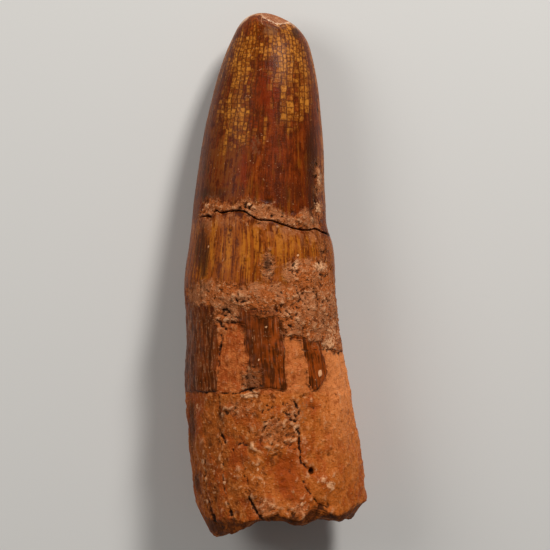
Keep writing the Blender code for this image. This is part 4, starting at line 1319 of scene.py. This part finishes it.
pink = paint.blend(paint.ease(0.42, 0.66, mottle * 0.4 + speckle * 0.6) * 0.7, TIP_PINK, TIP_CREAM)
tip_wire = paint.number("tip") + frayed * 1.2
rubbed = paint.ease(-0.1, 0.1, tip_wire)
# breaks the painted edge highlights up into streaks
highlight_breakup = paint.ease(0.42, 0.58, hair * 0.4 + mottle * 0.3 + speckle * 0.3)
edge_on = (1.0 - paint.ease(0.10, 0.24, flank.size() + frayed * 0.3)) * highlight_breakup
near_tip = paint.ease(6.0, 0.0, down_wire)
# painted highlight running down the outline from the tip
painted_rim_highlight = 1.0 - paint.ease(0.14, 0.27, (flank - near_tip * 0.2).size() + frayed * 0.4 - near_tip * 0.15)
painted_rim_highlight = painted_rim_highlight * (1.0 - paint.ease(8.0, 13.0, down_wire + frayed * 8.0)) * (highlight_breakup * 0.7).most(near_tip)
rim_highlight_colour = paint.blend(paint.ease(0.38, 0.50, mottle) * near_tip.most(0.2), EDGE_HIGHLIGHT, TIP_HIGHLIGHT)
# painted highlight along the border of the worn tip
painted_border_highlight = paint.ease(0.20, 0.06, (tip_wire - 0.08).size()) * paint.ease(0.30, 0.60, speckle)
right = paint.ease(3.0, 6.0, around) * paint.ease(8.0, 11.0, down_wire)
right = right * (1.0 - paint.ease(43.5, 44.5, down_wire))
# painted highlight along the right edge
painted_right_edge_highlight = right * (1.0 - paint.ease(0.14, 0.24, flank + frayed * 0.3)) * paint.ease(-0.2, 0.0, flank)
# fainter painted highlight along both edges, higher on the crown
painted_edge_highlight = edge_on * (1.0 - paint.ease(30.0, 44.0, down_wire + frayed * 8.0))
body = paint.coats(
    body,
    (painted_rim_highlight * paint.ease(-0.15, 0.0, flank), rim_highlight_colour),
    (rubbed, pink),
    (painted_border_highlight, TIP_HIGHLIGHT),
    (painted_right_edge_highlight * highlight_breakup * 0.85, EDGE_HIGHLIGHT),
    (painted_edge_highlight * 0.45, EDGE_HIGHLIGHT))
print("tip and edges done, nodes:", len(paint.tree.nodes))

# %% [markdown]
# ## Gloss and the finest relief
#
# Enamel has a soft polish, dentine less, and sand none. What is too fine for the mesh
# goes in as bump: the fine streaks of the enamel and the grain of the sand.

# %% Gloss and bump
SHINE = 0.08

matt = sandy.most(cluster_wire).most(broken).most(bared * 0.6)
roughness = 0.38 + 0.2 * matt + (mottle - 0.5) * 0.3 + (dust - 0.5) * 0.4
relief = hair * 0.05 + streak * 0.05 + dust * 0.04 + matt * (speckle * 0.30 + dust * 0.20)
bump = paint.node("ShaderNodeBump", {}, {"Strength": 1.0, "Distance": MM, "Height": relief})
paint.plug(paint.shader.inputs["Base Color"], body)
paint.plug(paint.shader.inputs["Roughness"], roughness)
paint.plug(paint.shader.inputs["Specular IOR Level"], SHINE)
paint.plug(paint.shader.inputs["Normal"], bump)
tooth_mesh.materials.append(paint.material)
print("nodes in the finish:", len(paint.tree.nodes))

# %% [markdown]
# ## Floor and lights
#
# A pale floor and soft light from large lamps. The main lamp stands at the upper right, as
# in the picture, so the left flank falls into shade and each dip has its dark side at
# the upper right. A weaker lamp fills in from the upper left.

# %% Floor and lights
FLOOR_COLOUR = colour(0.70, 0.69, 0.67)
FLOOR_SIZE, FLOOR_ROUGHNESS = 1.2, 0.9
WARM_WHITE = (1.0, 0.98, 0.95)
ROOM_LIGHT = 0.12

floor_mesh = bpy.data.meshes.new("floor")
reach = FLOOR_SIZE / 2
corners = [(-reach, -reach, 0.0), (reach, -reach, 0.0), (reach, reach, 0.0), (-reach, reach, 0.0)]
floor_mesh.from_pydata(corners, [], [(0, 1, 2, 3)])
floor = bpy.data.objects.new("floor", floor_mesh)
bpy.context.scene.collection.objects.link(floor)
floor_paint = Bench("floor")
floor_paint.plug(floor_paint.shader.inputs["Base Color"], FLOOR_COLOUR)
floor_paint.plug(floor_paint.shader.inputs["Roughness"], FLOOR_ROUGHNESS)
floor_mesh.materials.append(floor_paint.material)


def lamp(name, place, size, watts):
    """A square soft light that faces the tooth."""
    data = bpy.data.lights.new(name, "AREA")
    data.size = size
    data.energy = watts
    data.color = WARM_WHITE
    thing = bpy.data.objects.new(name, data)
    thing.location = place
    thing.rotation_euler = (-Vector(place)).to_track_quat("-Z", "Y").to_euler()
    bpy.context.scene.collection.objects.link(thing)
    print(name, "lamp:", watts, "W at", round(thing.location.length, 2), "m")


lamp("key", place=(0.22, 0.40, 0.37), size=0.12, watts=2.8)
lamp("fill", place=(-0.38, 0.18, 0.40), size=0.30, watts=1.1)
world = bpy.data.worlds.new("room")
bpy.context.scene.world = world
world.use_nodes = True
world.node_tree.nodes["Background"].inputs["Color"].default_value = colour(*WARM_WHITE)
world.node_tree.nodes["Background"].inputs["Strength"].default_value = ROOM_LIGHT
bpy.context.scene.view_settings.view_transform = "Standard"

# %% [markdown]
